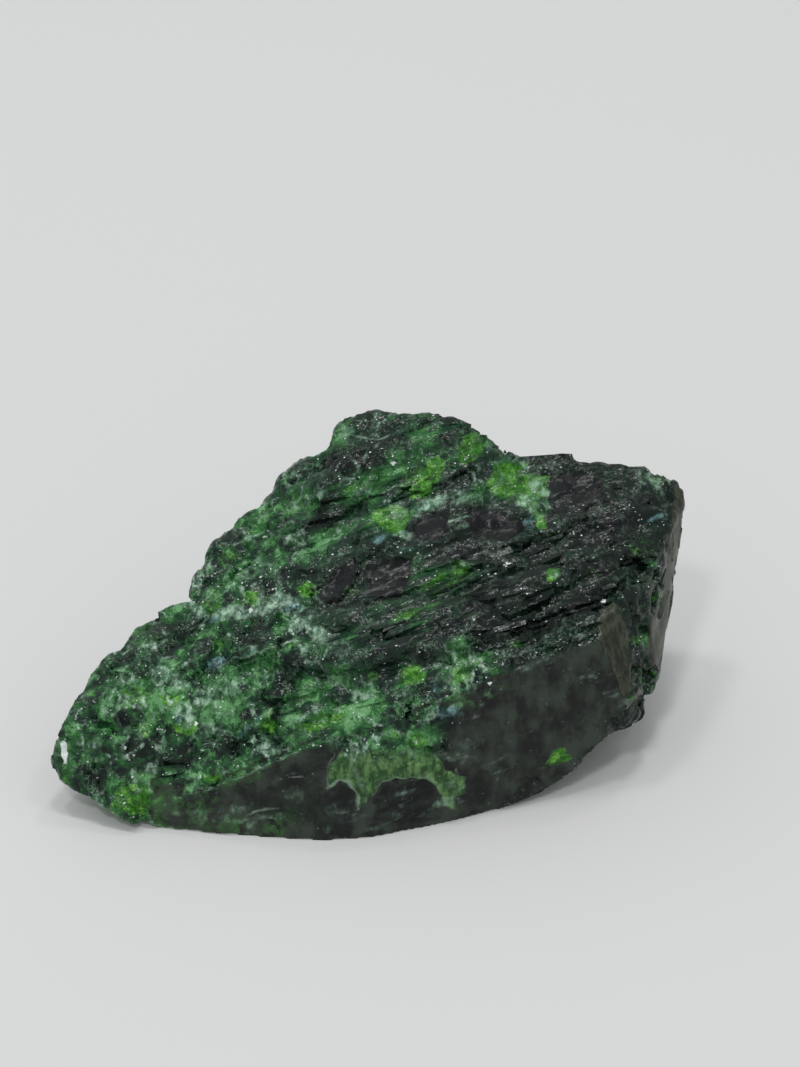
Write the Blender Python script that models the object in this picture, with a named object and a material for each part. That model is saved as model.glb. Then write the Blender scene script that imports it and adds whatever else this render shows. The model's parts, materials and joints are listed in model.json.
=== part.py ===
"""A rough chrome diopside crystal, about 61 mm long, broken along its cleavages and lying on a flat base.

Metres, +Z up, with the origin on the base. It is one solid: a body of flat cleavage slabs, with the splinters,
blocks and lumps that the crystal broke into standing a little proud of its upper and rear sides. The front and
the right end are smooth faces of single cleavages.
"""

import random
from itertools import combinations
from math import pi

import bmesh
import bpy
from mathutils import Matrix, Vector

MM = 0.001

# Driving sizes, in millimetres
SKIN_VOXEL = 0.42
BELOW_BASE = -1.0
CUT_SNAP = 0.01
ABOVE_ALL = 60.0
RIM_REACH = 2.2
RIM_DROP = 3.3
RIM_PROUD = 0.3
BRIDGE_SLACK = 0.3
SMOOTH_NEAR = 0.6
SMOOTH_MARGIN = 0.5
CLEAR_BEFORE_SMOOTH = 3.0

TRIANGLES = 9000
# Cosine of the angle up to which an outward direction belongs to a smooth face
SMOOTH_TURN = 0.9
RIM_DIRECTIONS = 8

# What the crystal broke into: the splinters of its top, the lumps of its left third, the blocks of its rear
SPLINTERS = {"spacing": 2.6, "length": (6, 14), "width": (1.6, 3.4), "depth": (2.4, 2.4), "lean": (0, 0.16)}
SPLINTER_PROUD = (0.1, 0.9)
GRAIN_SPACING = 3.0
GRAIN_RADIUS = (1.5, 2.4)
GRAIN_PROUD = (0.3, 1.2)
BACK_BLOCKS = {"spacing": 3.4, "length": (4, 9), "width": (2.5, 4.5), "depth": (2.5, 4.5), "lean": (-0.2, 0.2)}
BACK_PROUD = (0.2, 0.6)

# How far each corner of a block is broken back along its length, width and depth, and how far it is twisted
CORNER_LENGTH = (0.55, 1)
CORNER_WIDTH = (0.75, 1)
CORNER_DEPTH = (0.85, 1)
BLOCK_TWIST = 0.08
LUMP_CORNERS = 13
LUMP_ROUND = (0.85, 1)

# The grain is the crystal's long axis. Cleavage faces and splinters run along it.
GRAIN = Vector((0.93, 0.30, 0.21)).normalized()
GRAIN_UP = (Vector((0, 0, 1)) - GRAIN * GRAIN.z).normalized()
GRAIN_SIDE = GRAIN_UP.cross(GRAIN)

# The body's cleavage slabs, each the convex solid round its corners
BODY = {
    "front_slab": [
        (-20, -14.4, BELOW_BASE), (-11.3, -16.0, BELOW_BASE), (-4.6, -16.7, BELOW_BASE), (0, -16.3, BELOW_BASE),
        (8.2, -13.2, BELOW_BASE), (13.5, -10.3, BELOW_BASE), (17.5, -6, BELOW_BASE), (19.5, 0, BELOW_BASE),
        (14.4, -11.3, 0.5), (16.9, -10.6, 1.1), (19.8, -9.4, 2.9), (22.3, -8.2, 5.4), (24.5, -6.6, 10.0),
        (-20.7, -14.4, 1.5), (-2.7, -13.1, 10), (21.6, -5.9, 16), (-16, 2, BELOW_BASE), (21.5, 0, 2),
        (-17.5, -5, 11.6), (-2, -1, 15.3), (21, -1, 17.4), (-14, 3, 12.6), (-9, 10, BELOW_BASE), (8, 13, BELOW_BASE),
        (19, 9, BELOW_BASE),
    ],
    "top_slab": [
        (-18.0, 1.5, 12.0), (-15.5, 4.5, 14.2), (-14.5, -4, 12.9), (-3, -8, 14.3), (9.2, -5.4, 16.5),
        (21.8, -3.6, 17.5), (25.5, -1.8, 17.5), (-4, 6, 17.8), (10, 8, 20.3), (24.3, 2, 19.2), (14, 13.5, 20.8),
        (22, 12, 20.8), (-15, 2, 4), (-4, -8, 5), (20, -3, 5), (20, 10, BELOW_BASE), (-8, 12, BELOW_BASE),
        (10, 16, BELOW_BASE), (-15, 6, BELOW_BASE), (24.8, -2.2, 6),
    ],
    "left_wing": [
        (-30.3, -10.5, 5), (-29.7, -10.3, 8), (-27.9, -7.0, 9.5), (-26.1, -4.1, 11), (-25.3, -2.6, 11.3),
        (-22.5, 0.1, 12), (-21.2, 2.0, 12.3), (-18.2, 3.8, 12.5), (-29.3, -12.3, 3.8), (-24.6, -12.8, 2.5),
        (-22.4, -15.0, 0.9), (-20, -14.4, 0.2), (-14, -6, 12.3), (-12, -11.5, 7), (-26, -8, 1.5), (-21, -2, BELOW_BASE),
        (-14, 3, BELOW_BASE), (-13, 2.5, 13),
    ],
    "second_step": [
        (-17.4, 4.0, 13.8), (-16, 7.1, 15), (-15.1, 8.8, 15.8), (-14.4, 10.1, 16), (-12.7, 11.9, 16.8),
        (-10.6, 13.4, 17), (-8, 3, 16.2), (0, 5, 18.3), (2, 11, 19), (-15, 6, 3), (-11, 12, 2), (0, 5, 5),
        (0, 14, 5),
    ],
    "third_step": [
        (-10.4, 13.5, 17.2), (-9, 16.3, 19.5), (-7.9, 16.9, 20.2), (-6.7, 17, 20.5), (-5.2, 16.4, 20.6),
        (-3, 8, 19.5), (4, 9, 20.2), (-9, 14, 3), (-3, 16.6, 2), (2, 8, 5),
    ],
    "back_ridge": [
        (-5.2, 15.5, 20.6), (-3.2, 17.6, 24), (-2, 18.1, 24.8), (0, 18.3, 25.1), (6.9, 16.8, 26.1), (9.2, 14.8, 25.3),
        (11.2, 14.8, 24.4), (13.2, 13.9, 23), (15.1, 14.2, 21.8), (-4.5, 10.5, 20.8), (6, 9.5, 21.6), (12.5, 9, 21.4),
        (-3, 18, 4), (8, 18.3, 2), (14, 15, 3), (4, 8, 6),
    ],
    "window_ledge": [
        (2.8, 5.2, 18.5), (3.6, 6.6, 20.7), (8.5, 6.3, 21.2), (13.2, 6.6, 21.5), (14.8, 5.6, 20.0), (9, 4.6, 19.0),
        (5, 10.5, 21.3), (12.5, 10.5, 21.8), (15.4, 8, 20.6), (4, 9, 10), (13, 9, 10),
    ],
    "wedge_ledge": [
        (-5.0, 0, 15.9), (-2.5, 3.1, 18.3), (2.5, 3.6, 19.4), (6.4, 4.4, 19.9), (0.5, 0.9, 16.8), (6.6, 2.8, 18.2),
        (-3, 8, 18.4), (7, 8, 20), (-3, 5, 9), (6, 5, 9),
    ],
    "furrow_ledge": [
        (8.4, -5.0, 16.3), (24.6, 0.0, 18.3), (9.0, -4.3, 17.6), (24.2, 0.7, 19.4), (11, 3, 19.1), (23.6, 5, 20.3),
        (11, 0, 9), (23, 3, 9),
    ],
    "right_block": [
        (15.4, 14.2, 21.4), (17.6, 15, 22.1), (22.4, 14.4, 22.1), (26.9, 13.4, 22), (28.8, 13.4, 21), (30.3, 12.9, 20),
        (30.7, 11.8, 19), (12, 4, 19.8), (22.5, -1, 18.3), (27.3, 3, 18.5), (28.1, 10.1, 20.2), (29.8, 6.8, 13.5),
        (27.7, 1, 8.5), (14, 13, 2), (25, 12, 3), (25.5, 3, 4), (18, -2, 2),
    ],
    "right_column": [
        (21.6, -5.9, 16), (21.8, -3.6, 17.5), (25.5, -1.8, 17.6), (24.5, -6.6, 10), (26.3, -3.4, 7.5),
        (24.2, -7.5, 6.4), (26.3, -5, 6), (26.5, -3.6, 4.6), (23.5, -5, 4.6), (18, 0, 16), (18, 0, 4),
    ],
    "rear_column": [
        (27.3, 3, 18.5), (26.3, -0.6, 17.4), (27.6, -2.5, 7.2), (27.2, -3.3, 6.2), (27.4, 0.2, 5.0), (29.7, 6.4, 14),
        (28.9, 3.8, 9), (22, 3, 17), (22, 4, 5),
    ],
}

# The smooth cleavages, each by three corners of the body, turning to the right as seen from outside
SMOOTH_FACES = [
    [(-20.7, -14.4, 1.5), (-2.7, -13.1, 10), (-4.6, -16.7, -1.0)],
    [(-2.7, -13.1, 10), (21.6, -5.9, 16), (8.2, -13.2, -1.0)],
    [(21.6, -5.9, 16), (25.5, -1.8, 17.6), (24.5, -6.6, 10)],
    [(26.3, -0.6, 17.4), (27.3, 3, 18.5), (27.6, -2.5, 7.2)],
    [(27.3, 3, 18.5), (30.7, 11.8, 19), (29.8, 6.8, 13.5)],
]

# Lumps that show one by one: the x and y of the top, the radius and how far it stands up
LUMPS = [
    (-21.6, -13.9, 2.2, 1.1), (-29.0, -10.9, 1.8, 0.3), (-26.6, -7.4, 2.0, 0.4), (-25.4, -10.6, 2.0, 0.5),
    (-22.9, -7.0, 2.6, 0.9), (-20.2, -8.6, 2.1, 0.9), (-17.4, -5.8, 1.9, 0.9), (-17.0, -9.9, 2.2, 0.9),
    (-22.6, -10.6, 2.1, 0.8), (-13.6, -7.6, 2.1, 0.9), (-9.3, -10.4, 2.2, 0.9), (-7.6, -13.0, 1.8, 0.8),
    (-13.0, -11.4, 2.0, 0.7), (-3.7, -9.0, 2.0, 0.8), (2.6, -8.3, 2.0, 1.0), (9.6, -7.8, 2.4, 1.1),
    (7.4, -9.6, 2.1, 0.9), (11.3, -8.9, 1.8, 0.9), (5.6, 11.8, 1.8, 0.7), (10.3, 11.6, 2.0, 0.6),
    (-12.0, 5.6, 1.8, 0.6), (-15.2, 3.0, 1.6, 0.5), (-24.9, -2.8, 1.5, 0.3), (-15.3, 7.0, 1.4, 0.3),
    (-14.3, 9.6, 1.5, 0.3), (-8.0, 16.2, 1.5, 0.3), (12.1, 13.6, 1.4, 0.3), (16.2, 9.6, 1.5, 0.7),
]


def clear_scene():
    for thing in list(bpy.data.objects):
        bpy.data.objects.remove(thing)


def convex_solid(solid, corners):
    """Adds the convex solid round some corners, given in millimetres."""
    made = [solid.verts.new(Vector(corner) * MM) for corner in corners]
    hull = bmesh.ops.convex_hull(solid, input=made)
    spare = {part for part in hull["geom_interior"] + hull["geom_unused"] if isinstance(part, bmesh.types.BMVert)}
    bmesh.ops.delete(solid, geom=list(spare), context="VERTS")


def new_object(solid, name):
    """An object that holds a bmesh, which is freed."""
    bmesh.ops.recalc_face_normals(solid, faces=solid.faces)
    mesh = bpy.data.meshes.new(name)
    solid.to_mesh(mesh)
    solid.free()
    thing = bpy.data.objects.new(name, mesh)
    bpy.context.scene.collection.objects.link(thing)
    return thing


def apply_modifiers(thing):
    bpy.context.view_layer.update()
    seen = thing.evaluated_get(bpy.context.evaluated_depsgraph_get())
    thing.data = bpy.data.meshes.new_from_object(seen)
    thing.modifiers.clear()


def fuse(thing):
    """Gives an object one closed skin round everything in it that overlaps."""
    skin = thing.modifiers.new("skin", "REMESH")
    skin.mode = "VOXEL"
    skin.voxel_size = SKIN_VOXEL * MM
    apply_modifiers(thing)


def thin(thing, triangles):
    """Leaves about that many triangles, with the flat faces kept flat."""
    fewer = thing.modifiers.new("fewer", "DECIMATE")
    fewer.ratio = triangles / (2 * len(thing.data.polygons))
    apply_modifiers(thing)


def cut_base(thing):
    """Cuts the underside off flat at the base and closes it."""
    solid = bmesh.new()
    solid.from_mesh(thing.data)
    everything = solid.verts[:] + solid.edges[:] + solid.faces[:]
    bmesh.ops.bisect_plane(
        solid, geom=everything, dist=CUT_SNAP * MM, plane_co=(0, 0, 0), plane_no=(0, 0, -1), clear_outer=True
    )
    for corner in solid.verts:
        if corner.co.z < CUT_SNAP * MM:
            corner.co.z = 0
    rim = [edge for edge in solid.edges if edge.is_boundary]
    bmesh.ops.holes_fill(solid, edges=rim)
    bmesh.ops.triangulate(solid, faces=solid.faces)
    bmesh.ops.recalc_face_normals(solid, faces=solid.faces)
    solid.to_mesh(thing.data)
    solid.free()


def smooth_planes():
    """Each smooth face's corner, outward direction and reach along X."""
    planes = []
    for face in SMOOTH_FACES:
        first, second, third = (Vector(corner) for corner in face)
        left, right = min(corner[0] for corner in face), max(corner[0] for corner in face)
        outward = (third - first).cross(second - first).normalized()
        planes.append((first, outward, (left - SMOOTH_MARGIN, right + SMOOTH_MARGIN)))
    return planes


def is_smooth(spot, outward, planes):
    for start, face_way, _ in planes:
        if abs((spot - start).dot(face_way)) < SMOOTH_NEAR and outward.dot(face_way) > SMOOTH_TURN:
            return True
    return False


def top_under(x, y, body):
    """Where the body's top is below a point, with its outward direction, or None beside the body."""
    hit, top, outward, _ = body.ray_cast(Vector((x, y, ABOVE_ALL)) * MM, Vector((0, 0, -1)))
    return (top / MM, outward) if hit else None


def near_rim(spot, body):
    """Whether the body's top falls away within a few millimetres, as it does along the outline."""
    for turn in range(RIM_DIRECTIONS):
        step = Matrix.Rotation(turn * 2 * pi / RIM_DIRECTIONS, 3, "Z") @ Vector((RIM_REACH, 0, 0))
        found = top_under(spot.x + step.x, spot.y + step.y, body)
        if not found or found[0].z < spot.z - RIM_DROP:
            return True
    return False


def held_in(corners, body, proud, planes):
    """Moves corners that stand too proud of the body back, and those in front of a smooth face into it."""
    held = []
    for corner in corners:
        _, nearest, outward, _ = body.closest_point_on_mesh(corner * MM)
        nearest = nearest / MM
        allowed = RIM_PROUD if near_rim(nearest, body) else proud
        if (corner - nearest).dot(outward) > allowed:
            corner = nearest + outward * allowed
        for start, face_way, (left, right) in planes:
            out = (corner - start).dot(face_way)
            if 0 < out < CLEAR_BEFORE_SMOOTH and left < corner.x < right:
                corner = corner - face_way * out
        held.append(corner)
    return held


def bridges_gap(corners, body, limit):
    """Whether a block would span a notch of the body and fill it."""
    for first, second in combinations(corners, 2):
        middle = (first + second) / 2
        _, nearest, outward, _ = body.closest_point_on_mesh(middle * MM)
        if (middle - nearest / MM).dot(outward) > limit:
            return True
    return False


def add_held(solid, corners, body, proud, planes):
    corners = held_in(corners, body, proud, planes)
    centre = sum(corners, Vector()) / len(corners)
    most = RIM_PROUD if near_rim(centre, body) else proud
    if not bridges_gap(corners, body, most + BRIDGE_SLACK):
        convex_solid(solid, corners)


def block_corners(rng, centre, size, lean):
    """A cleavage block along the grain, with each corner broken back by a different amount."""
    turn = Matrix.Rotation(lean, 3, GRAIN) @ Matrix.Rotation(rng.uniform(-BLOCK_TWIST, BLOCK_TWIST), 3, GRAIN_UP)
    axes = [turn @ axis for axis in (GRAIN, GRAIN_SIDE, GRAIN_UP)]
    corners = []
    for end in (-0.5, 0.5):
        for flank in (-0.5, 0.5):
            for level in (-0.5, 0.5):
                steps = (
                    end * size[0] * rng.uniform(*CORNER_LENGTH),
                    flank * size[1] * rng.uniform(*CORNER_WIDTH),
                    level * size[2] * rng.uniform(*CORNER_DEPTH),
                )
                corners.append(centre + sum((axis * step for axis, step in zip(axes, steps)), Vector()))
    return corners


def lump_corners(rng, centre, radius):
    """A rounded grain with flat facets."""
    corners = []
    for _ in range(LUMP_CORNERS):
        way = Vector((rng.gauss(0, 1), rng.gauss(0, 1), rng.gauss(0, 1))).normalized()
        corners.append(centre + way * radius * rng.uniform(*LUMP_ROUND))
    return corners


def block_sizes(rng, blocks):
    return [rng.uniform(*blocks[side]) for side in ("length", "width", "depth")]


def scattered(rng, body, spacing, wanted):
    """Points on the body, with its outward directions, that are wanted and at least a spacing apart."""
    faces = list(body.data.polygons)
    rng.shuffle(faces)
    kept = []
    for face in faces:
        spot, outward = face.center / MM, face.normal.copy()
        if wanted(spot, outward) and all((spot - other).length > spacing for other, _ in kept):
            kept.append((spot, outward))
    return kept


def add_broken_surface(solid, body):
    """Adds the splinters, blocks and lumps that stand proud of the body."""
    rng = random.Random(5)
    planes = smooth_planes()

    def on_top_right(spot, outward):
        return outward.z > 0.7 and spot.x > -6 and spot.y < 14

    def on_top_left(spot, outward):
        return spot.x < 1 and spot.z > 2 and outward.z > 0.3 and not is_smooth(spot, outward, planes)

    def on_back(spot, outward):
        hidden = outward.y > 0.25 or outward.x < -0.5 or outward.z < -0.1
        return hidden and spot.z > 1.5 and not is_smooth(spot, outward, planes)

    for spot, outward in scattered(rng, body, SPLINTERS["spacing"], on_top_right):
        size = block_sizes(rng, SPLINTERS)
        proud = rng.uniform(*SPLINTER_PROUD)
        centre = spot + outward * (proud - size[2] / 2)
        corners = block_corners(rng, centre, size, rng.uniform(*SPLINTERS["lean"]))
        add_held(solid, corners, body, proud, planes)
    for spot, outward in scattered(rng, body, GRAIN_SPACING, on_top_left):
        radius = rng.uniform(*GRAIN_RADIUS)
        proud = rng.uniform(*GRAIN_PROUD)
        add_held(solid, lump_corners(rng, spot - outward * (radius - proud), radius), body, proud, planes)
    for spot, outward in scattered(rng, body, BACK_BLOCKS["spacing"], on_back):
        size = block_sizes(rng, BACK_BLOCKS)
        proud = rng.uniform(*BACK_PROUD)
        centre = spot + outward * (proud - size[1] / 2)
        corners = block_corners(rng, centre, size, rng.uniform(*BACK_BLOCKS["lean"]))
        add_held(solid, corners, body, proud, planes)
    for x, y, radius, proud in LUMPS:
        top, outward = top_under(x, y, body)
        add_held(solid, lump_corners(rng, top - outward * (radius - proud), radius), body, proud, planes)


def build_crystal():
    slabs = bmesh.new()
    for corners in BODY.values():
        convex_solid(slabs, corners)
    whole = slabs.copy()
    body = new_object(slabs, "body")
    fuse(body)
    add_broken_surface(whole, body)
    bpy.data.objects.remove(body)
    crystal = new_object(whole, "diopside_crystal")
    fuse(crystal)
    thin(crystal, TRIANGLES)
    cut_base(crystal)
    return crystal


def green_material():
    material = bpy.data.materials.new("green_diopside")
    material.use_nodes = True
    shader = material.node_tree.nodes["Principled BSDF"]
    shader.inputs["Base Color"].default_value = (0.02, 0.075, 0.02, 1)
    shader.inputs["Roughness"].default_value = 0.25
    shader.inputs["Metallic"].default_value = 0.0
    return material


clear_scene()
crystal = build_crystal()
crystal.data.materials.append(green_material())
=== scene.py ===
"""The looks of a rough chrome diopside crystal: its broken skin, its grains and splinters, and its greens.

The crystal's own solid gives the shape. Its skin is that shape with a finer broken surface, and grains and
splinters stand a little proud of it. Lengths are in millimetres until a mesh is made.
"""

import json
import random
from math import cos, pi, radians, sin

import bmesh
import bpy
import numpy as np
from mathutils import Euler, Matrix, Vector, noise
from mathutils.bvhtree import BVHTree

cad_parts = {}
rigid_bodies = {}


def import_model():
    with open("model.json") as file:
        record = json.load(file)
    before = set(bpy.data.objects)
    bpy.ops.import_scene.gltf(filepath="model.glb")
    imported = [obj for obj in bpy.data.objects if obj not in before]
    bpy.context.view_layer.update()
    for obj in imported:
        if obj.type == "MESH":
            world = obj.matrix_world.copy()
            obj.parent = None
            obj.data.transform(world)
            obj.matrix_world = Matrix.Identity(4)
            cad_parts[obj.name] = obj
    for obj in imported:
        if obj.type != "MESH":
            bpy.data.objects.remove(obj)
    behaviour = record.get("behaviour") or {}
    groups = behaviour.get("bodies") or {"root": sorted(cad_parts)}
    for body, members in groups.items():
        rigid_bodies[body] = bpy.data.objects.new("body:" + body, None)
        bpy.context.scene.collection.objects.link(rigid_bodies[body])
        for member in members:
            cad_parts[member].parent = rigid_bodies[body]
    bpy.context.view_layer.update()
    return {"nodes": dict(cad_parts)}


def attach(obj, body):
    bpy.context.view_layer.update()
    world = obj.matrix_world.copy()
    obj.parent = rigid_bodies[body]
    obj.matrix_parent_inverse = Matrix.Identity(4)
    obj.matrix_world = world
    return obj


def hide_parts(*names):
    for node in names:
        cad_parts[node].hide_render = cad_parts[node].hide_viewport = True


MM = 0.001

# The photograph's frame in pixels, and the view it was taken from
FRAME_WIDTH = 800
FRAME_HEIGHT = 1067
FOCAL_PIXELS = 3672
SENSOR = 36.0
ELEVATION = radians(38)
AIM = Vector((2.94, 11.68, 14.95))
DISTANCE = 360.0
LOOK_RIGHT = Vector((1, 0, 0))
LOOK_UP = Vector((0, sin(ELEVATION), cos(ELEVATION)))
LOOK_AHEAD = Vector((0, cos(ELEVATION), -sin(ELEVATION)))
EYE = AIM - LOOK_AHEAD * DISTANCE

# The grain is the crystal's long axis. Splinters, furrows and streaks run along it.
GRAIN = Vector((0.93, 0.30, 0.21)).normalized()
GRAIN_UP = (Vector((0, 0, 1)) - GRAIN * GRAIN.z).normalized()
GRAIN_SIDE = GRAIN_UP.cross(GRAIN)
GRAIN_FRAME = Matrix((GRAIN, GRAIN_SIDE, GRAIN_UP))

# Smooth cleavages: the outward direction, the distance from the origin and the least and greatest X. A place
# belongs to one where it is this near and faces that way.
SMOOTH_FACES = {
    "front_left": (Vector((-0.082, -0.945, 0.318)), 15.77, -21.0, -2.0),
    "front_right": (Vector((0.225, -0.947, 0.226)), 14.06, -3.5, 24.5),
}
SMOOTH_NEAR = 0.7
SMOOTH_TURN = 0.93

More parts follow.
